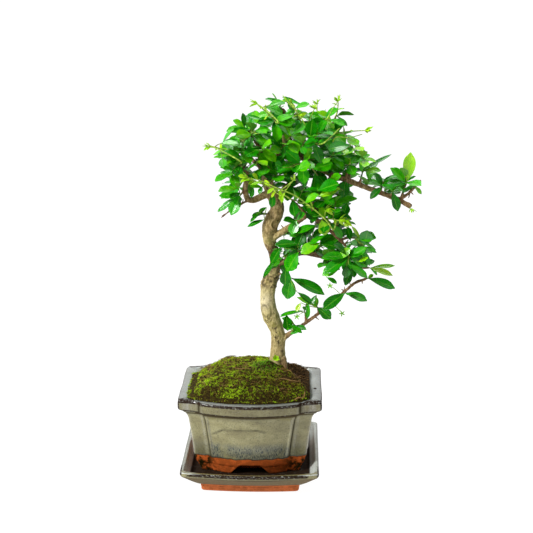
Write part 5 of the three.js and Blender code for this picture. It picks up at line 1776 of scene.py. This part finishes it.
def leaf_tone(numbers, height, hand=None):
    """Place on the colour ramp, a random number, and gloss."""
    chance = draw(*numbers)
    age = 0.03 + 0.38 * chance ** 1.5 + 0.13 * np.clip((height - 270) / 90, 0, 1)
    if draw(numbers[0], numbers[1], 31) > 0.88:
        age += 0.2
    gloss = draw(numbers[1], numbers[2], 32) ** 1.2
    return (hand if hand is not None else age, draw(numbers[2], numbers[0], 5), gloss)


def leaf_character(numbers):
    """How toothed the tip is, twist, wave and curl."""
    a, b = numbers[:2]
    teeth = 1.0 if draw(a, b, 41) > 0.62 else 0.15
    return teeth, 0.5 * (draw(a, b, 42) - 0.5), 0.5 * draw(a, b, 43), draw(a, b, 44)


# Middles of all leaves set so far
leaf_middles = []


def leaf_makers(stem, spray_index, shoot_index, shoot):
    """For each leaf of a shoot, its kind, its number and a function that makes its tries."""
    makers = []
    for index, row in enumerate(shoot[5:]):
        makers.append(("hand", index, lambda attempt, r=row, i=index: placed_leaf(stem, r, i, attempt)))
    for index in range(shoot[3]):
        makers.append(("rule", index, lambda attempt, i=index: ruled_leaf(
            stem, spray_index, shoot_index, shoot, i, attempt)))
    return makers


def make_sprays():
    for spray_index, spray in enumerate(sprays):
        node = f"spray_{spray_index + 1:02d}_{spray['branch']}"
        corners = model_corners(node)
        skin = Skin()
        for shoot_index, shoot in enumerate(spray["shoots"]):
            stem = spray["stems"][shoot_index]
            pale = shoot[4] < PALE_LENGTH
            young = pale and spray_index + 1 not in GREEN_SPRAYS
            add_stem(skin, stem, young)
            if young:
                add_bud(skin, stem)
            for kind, index, make_leaf in leaf_makers(stem, spray_index, shoot_index, shoot):
                leaf = found_leaf(make_leaf, corners, pale)
                if leaf is None:
                    continue
                leaf_middles.append((leaf["base"] + leaf["tip"]) / 2)
                numbers = (spray_index, shoot_index * 16 + index, 3 if kind == "hand" else 9)
                hand = LEAF_COLOURS.get((spray_index + 1, index)) if kind == "hand" else None
                tone = leaf_tone(numbers, leaf["tip"][2], hand)
                if young:
                    tone = (0.72 + 0.28 * draw(*numbers), tone[1], 0)
                add_leaf(skin, leaf, LANCE if young else SPOON, tone, leaf_character(numbers))
        make_piece(f"{node}_leaves", skin, LEAFY, [node])


def add_stem(skin, stem, pale):
    radii = STEM_RADII["pale" if pale else "leafy"]
    line = arc(stem, np.linspace(0, 1, 9))
    line[0] -= unit(line[1] - line[0]) * 1.2
    tone = (0.45, 0, 0) if pale else (0.05, 0, 0)
    add_tube(skin, line, np.linspace(*radii, 9), 6, STEM_SLOT, tone)


def add_bud(skin, stem):
    add_tuft(skin, stem[2], arc_heading(stem, 1), BUD["length"], 0.8)


def add_tuft(skin, place, heading, size, age):
    """A tuft of tiny leaves round the tip of a young shoot."""
    side = unit(np.cross(heading, [0.3, -1, 0.2]))
    other = np.cross(heading, side)
    for i in range(BUD["leaves"]):
        turn = i * math.radians(LEAF_TURN)
        out = side * math.cos(turn) + other * math.sin(turn)
        aim = unit(heading * (1.3 if i == 0 else 0.5) + out * (0.1 if i == 0 else 0.8))
        length = size * (0.7 + 0.6 * draw(i, round(place[0]), 81))
        leaf = {"base": place - heading * 0.6, "tip": place + aim * length, "up": UP + out,
                "width": 0.42 * length}
        add_leaf(skin, leaf, LANCE, (age + 0.2 * draw(i, 3, 82), 0.5, 0), (0, 0, 0, 0))


def make_young_growth():
    """The long shoot, tufts of young leaves, star-shaped flower cups on thin stalks, and a seedling."""
    skin = Skin()
    anchors = wood_anchors()
    steps = np.linspace(0, 1, 40)
    for rows in YOUNG_SHOOTS:
        place = np.array(rows[0][:3], float)
        start = anchors[nearest(anchors, place)[0]]
        rows = [[*start, rows[0][3]], *rows]
        add_tube(skin, spline(rows, steps), 0.78 * radius_at(rows, steps), 6, STEM_SLOT, (0.38, 0, 0))
    for place, heading, length in YOUNG_TUFTS:
        tip, heading = np.array(place, float), unit(np.array(heading, float))
        add_tuft(skin, tip, heading, length, 0.72)
        start = anchors[nearest(anchors, tip - heading * 8)[0]]
        line = arc((start, (start + tip) / 2 - UP, tip), np.linspace(0, 1, 8))
        add_tube(skin, line, np.linspace(0.6, 0.4, 8), 5, STEM_SLOT, (0.42, 0, 0))
    for place, white in FLOWERS:
        add_flower(skin, np.array(place, float), white, anchors)
    add_seedling(skin)
    make_piece("young_growth", skin, [*LEAFY, MATERIALS["petal"]])


def add_seedling(skin):
    """A tuft of small leaves that grows out of the bark at the trunk's foot."""
    shares = np.linspace(0, 1, 300)
    line, radii = spline(TRUNK, shares), radius_at(TRUNK, shares)
    index = int(np.argmin(np.abs(line[:, 2] - SEEDLING["height"])))
    base = line[index] + unit(np.array(SEEDLING["side"], float)) * radii[index] * 0.92
    for turn in range(SEEDLING["leaves"]):
        angle = turn * math.radians(LEAF_TURN)
        aim = np.array([0.8 * math.cos(angle), -0.6, 0.5 + 0.6 * math.sin(angle)])
        leaf = {"base": base, "tip": base + aim * (3.6 + 0.35 * turn), "up": UP - [0, 1.6, 0], "width": 3.6}
        add_leaf(skin, leaf, LANCE, (0.7 + 0.04 * turn, 0.3, 0), (0, 0, 0, 0))


def add_flower(skin, place, white, anchors):
    """Five narrow sepals in a star, or petals where it is in bloom."""
    start = anchors[nearest(anchors, place)[0]]
    stalk = (start, (start + place) / 2 + [0, -1, 1.5], place)
    line = arc(stalk, np.linspace(0, 1, 8))
    add_tube(skin, line, np.linspace(0.4, 0.28, 8), 5, STEM_SLOT, (0.42, 0, 0))
    for i in range(5):
        angle = i * 2 * math.pi / 5 + place[0]
        aim = np.array([math.cos(angle), -0.35, math.sin(angle)])
        length = 4.4 if white else 4.0
        leaf = {"base": place, "tip": place + unit(aim) * length, "up": np.array([0, -1, 0.2]),
                "width": 2.4 if white else 1.3}
        first = len(skin.slots)
        add_leaf(skin, leaf, LANCE, (0.66, 0.3, 0), (0, 0, 0, 0))
        if white:
            skin.slots[first:] = [PETAL_SLOT] * (len(skin.slots) - first)


def make_spurs():
    """Short dead twigs and bud scales on the branches."""
    rng = np.random.default_rng(37)
    skin = Skin()
    names = list(BRANCHES)
    for _ in range(SPURS):
        rows = BRANCHES[names[rng.integers(len(names))]]
        share = rng.uniform(0.15, 1)
        start, radius = spline(rows, share), radius_at(rows, share)
        out = unit(rng.normal(0, 1, 3) + [0, -0.4, 0.5])
        length = rng.uniform(1.5, 5.5)
        bend = rng.normal(0, 0.25, 3) * length
        line = arc((start, start + out * (radius + length * 0.5) + bend, start + out * (radius + length)),
                   np.linspace(0, 1, 6))
        add_tube(skin, line, np.linspace(0.9, 0.35, 6), 5, 0, (0.1, 1, 0))
    make_piece("twig_spurs", skin, [MATERIALS["bark"]])


def inside_outline(outline, x, height):
    inside = False
    for (x0, z0), (x1, z1) in zip(outline, outline[1:] + outline[:1]):
        if (z0 > height) != (z1 > height) and x < x0 + (x1 - x0) * (height - z0) / (z1 - z0):
            inside = not inside
    return inside


def nearest(points, place):
    """Index of the nearest of the points, and its distance."""
    away = np.linalg.norm(points - place, axis=1)
    index = int(away.argmin())
    return index, away[index]


def wood_anchors():
    """Points on the limbs, twigs and stems that a new shoot can grow from."""
    limbs = [centres for name, centres, _ in wood_lines() if name not in ("root", "foot")]
    stems = [arc(stem, np.linspace(0.1, 0.8, 5)) for spray in sprays for stem in spray["stems"]]
    points = np.vstack([*limbs, *stems])
    return points[points[:, 2] > 150]


def clear_points():
    """Points that the filling leaves keep away from: young shoots, and the bare front of the long branch."""
    shoots = [arc(stem, np.linspace(0.35, 1.05, 7)) for spray in sprays
              for stem, shoot in zip(spray["stems"], spray["shoots"]) if shoot[4] < PALE_LENGTH]
    along = spline(BRANCHES["long_right"], np.linspace(0.2, 1, 24))
    branch = np.vstack([along - [0, depth, 0] for depth in (6, 16, 26, 36)])
    stems = [spline(rows, np.linspace(0, 1, 16)) for rows in YOUNG_SHOOTS]
    return np.vstack([*shoots, branch, *stems])


def fill_target(rng, part, anchors, taken):
    """The emptiest of some random places in a part of the crown."""
    outline, depth, half_depth, _ = part
    low, high = np.min(outline, axis=0), np.max(outline, axis=0)
    best, best_score = None, -math.inf
    for _ in range(FILL_TRIES):
        x, seen = rng.uniform(low, high)
        y = depth + half_depth * rng.uniform(-1, 1)
        place = np.array([x, y, seen - VIEW_SLOPE * y])
        wood = nearest(anchors, place)[1]
        steps = ((0, 0), (FILL_INSET, 0), (-FILL_INSET, 0), (0, FILL_INSET), (0, -FILL_INSET))
        inset = all(inside_outline(outline, x + right, seen + up) for right, up in steps)
        if not inset or wood > FILL_REACH:
            continue
        score = min(nearest(taken, place)[1], 14) - 0.15 * wood
        if score > best_score:
            best, best_score = place, score
    return best


def spread_leaf(leaf):
    """The leaf turned so that it lies nearer to level and shows its face to the sky."""
    along = leaf["tip"] - leaf["base"]
    length = np.linalg.norm(along)
    along[2] = (along[2] if along[2] > 0 else 0.35 * along[2]) * 0.8 + 0.05 * length
    leaf["tip"] = leaf["base"] + unit(along) * length
    leaf["up"] = np.array([0.25 * along[0] / length, -0.4, 0.85])
    return leaf


def add_fill_stem(skin, stem, tone):
    line = arc(stem, np.linspace(0, 1, 7))
    add_tube(skin, line, np.linspace(*FILL_STEM, 7), 5, STEM_SLOT, (tone, 0, 0))


def make_set_leaves():
    """The leaves of SET_LEAVES, each on a thin stalk from the nearest wood."""
    anchors = wood_anchors()
    skin = Skin()
    for index, (x0, z0, x1, z1, depth, width, tone) in enumerate(SET_LEAVES):
        base, tip = np.array([x0, depth, z0], float), np.array([x1, depth - 4, z1], float)
        leaf = {"base": base, "tip": tip, "up": np.array(HAND_UP), "width": width}
        leaf_middles.append((base + tip) / 2)
        gloss = draw(index, 5, 91) ** 1.6
        add_leaf(skin, leaf, SPOON, (tone, draw(index, 6, 92), gloss), leaf_character((index, 7, 93)))
        start = anchors[nearest(anchors, base)[0]]
        stalk = (start, (start + base) / 2 - UP * 0.1 * np.linalg.norm(base - start), base)
        add_fill_stem(skin, stalk, 0.3)
    make_piece("right_leaves", skin, LEAFY)


def fits_crown(leaf, outline, clear, numbers):
    """Whether a leaf is inside the model's box and its part of the crown, and clear of what is there."""
    low, high = (np.array(corner) / MM for corner in cad_box)
    tip, middle = leaf["tip"], (leaf["base"] + leaf["tip"]) / 2
    if np.any(tip <= low + MODEL_LIMIT) or np.any(tip >= high - MODEL_LIMIT):
        return False
    seen = inside_outline(outline, tip[0], tip[2] + VIEW_SLOPE * tip[1]) or draw(*numbers) > 0.7
    if not seen or not inside_outline(outline, middle[0], middle[2] + VIEW_SLOPE * middle[1]):
        return False
    crowded = nearest(np.array(leaf_middles), middle)[1] < FILL_APART
    return not crowded and nearest(clear, middle)[1] >= CLEARANCE


def add_fill_shoot(skin, rng, stem, outline, clear, part_index, shoot):
    """A shoot with those of its leaves that fit, and without a stem if none does."""
    whole = arc_length(stem)
    grown = 0
    for index in range(rng.integers(4, 7)):
        numbers = (300 + part_index, shoot, shoot * 8 + index)
        longest = rng.uniform(*FILL_LENGTHS)
        share = max(0.25, 1 - index * FILL_SPACING / whole)
        leaf = spread_leaf(leaf_on_stem(stem, share, numbers, longest, index, 0, False))
        if not fits_crown(leaf, outline, clear, numbers):
            continue
        leaf_middles.append((leaf["base"] + leaf["tip"]) / 2)
        grown += 1
        add_leaf(skin, leaf, SPOON, leaf_tone(numbers, leaf["tip"][2]), leaf_character(numbers))
    if grown:
        add_fill_stem(skin, stem, 0.1)


def make_fill():
    """Shoots with leaves that fill the crown, one piece for each of its parts."""
    anchors = wood_anchors()
    clear = clear_points()
    for part_index, part in enumerate(FILLS):
        outline, _, _, shoots = part
        rng = np.random.default_rng(101 + part_index)
        skin = Skin()
        for shoot in range(shoots):
            target = fill_target(rng, part, anchors, np.array(leaf_middles))
            if target is None:
                continue
            start = anchors[nearest(anchors, target)[0]]
            span = np.linalg.norm(target - start)
            stem = (start, (start + target) / 2 + UP * 0.15 * span, target)
            add_fill_shoot(skin, rng, stem, outline, clear, part_index, shoot)
        make_piece(f"fill_leaves_{part_index + 1}", skin, LEAFY)


# Stage, light and camera

def make_stage():
    mesh = bpy.data.meshes.new("floor")
    reach = 60.0
    mesh.from_pydata([(-reach, -reach, 0), (reach, -reach, 0), (reach, reach, 0), (-reach, reach, 0)],
                     [], [(0, 1, 2, 3)])
    floor = bpy.data.objects.new("floor", mesh)
    bpy.context.scene.collection.objects.link(floor)
    shade = Shade("floor")
    white = shade.mix(shade.noise(400, 1), (0.10, 0.10, 0.10), (0.11, 0.11, 0.11))
    mesh.materials.append(shade.finish(white, 0.9, Emission_Color=(1.0, 1.0, 1.0), Emission_Strength=0.97,
                                       Specular_IOR_Level=0.0))


def add_light(name, place, size, power):
    data = bpy.data.lights.new(name, "AREA")
    data.shape = "DISK"
    data.size = size
    data.energy = power
    light = bpy.data.objects.new(name, data)
    light.location = place
    heading = np.array(LIGHT_AIM) - np.array(place)
    rotation = Vector(heading.tolist()).to_track_quat("-Z", "Y")
    light.rotation_euler = rotation.to_euler()
    bpy.context.scene.collection.objects.link(light)


def make_light():
    """A white room, bright behind the tree and dim in front, with a strong key light and a soft top light."""
    world = bpy.data.worlds.new("studio")
    bpy.context.scene.world = world
    world.use_nodes = True
    nodes, links = world.node_tree.nodes, world.node_tree.links
    direction = nodes.new("ShaderNodeTexCoord").outputs["Generated"]
    axes = nodes.new("ShaderNodeSeparateXYZ")
    links.new(direction, axes.inputs[0])
    bright = nodes.new("ShaderNodeMapRange")
    limits = {"From Min": -0.6, "From Max": 0.5, "To Min": WORLD_FRONT, "To Max": WORLD_BACK}
    for name, value in limits.items():
        bright.inputs[name].default_value = value
    links.new(axes.outputs[1], bright.inputs["Value"])
    links.new(bright.outputs[0], nodes["Background"].inputs["Strength"])
    nodes["Background"].inputs["Color"].default_value = (1, 1, 1, 1)
    for name, place, size, power in LIGHTS:
        add_light(name, place, size, power)
    view = bpy.context.scene.view_settings
    view.view_transform = "Standard"
    view.look = "None"


def make_camera():
    data = bpy.data.cameras.new("camera")
    data.lens = CAMERA_LENS
    data.sensor_width = 36
    data.clip_end = 100
    camera = bpy.data.objects.new("camera", data)
    camera.location = [value * MM for value in CAMERA_PLACE]
    camera.rotation_euler = (math.radians(90 - CAMERA_PITCH), 0, math.radians(CAMERA_TURN))
    bpy.context.scene.collection.objects.link(camera)
    bpy.context.scene.camera = camera


make_camera()
make_light()
make_stage()
make_saucer()
make_pot()
make_drain_mesh()
make_soil()
make_moss_mat()
make_moss_tufts()
make_fibres()
make_crumbs()
make_wood()
make_sprays()
make_set_leaves()
make_fill()
make_young_growth()
make_spurs()
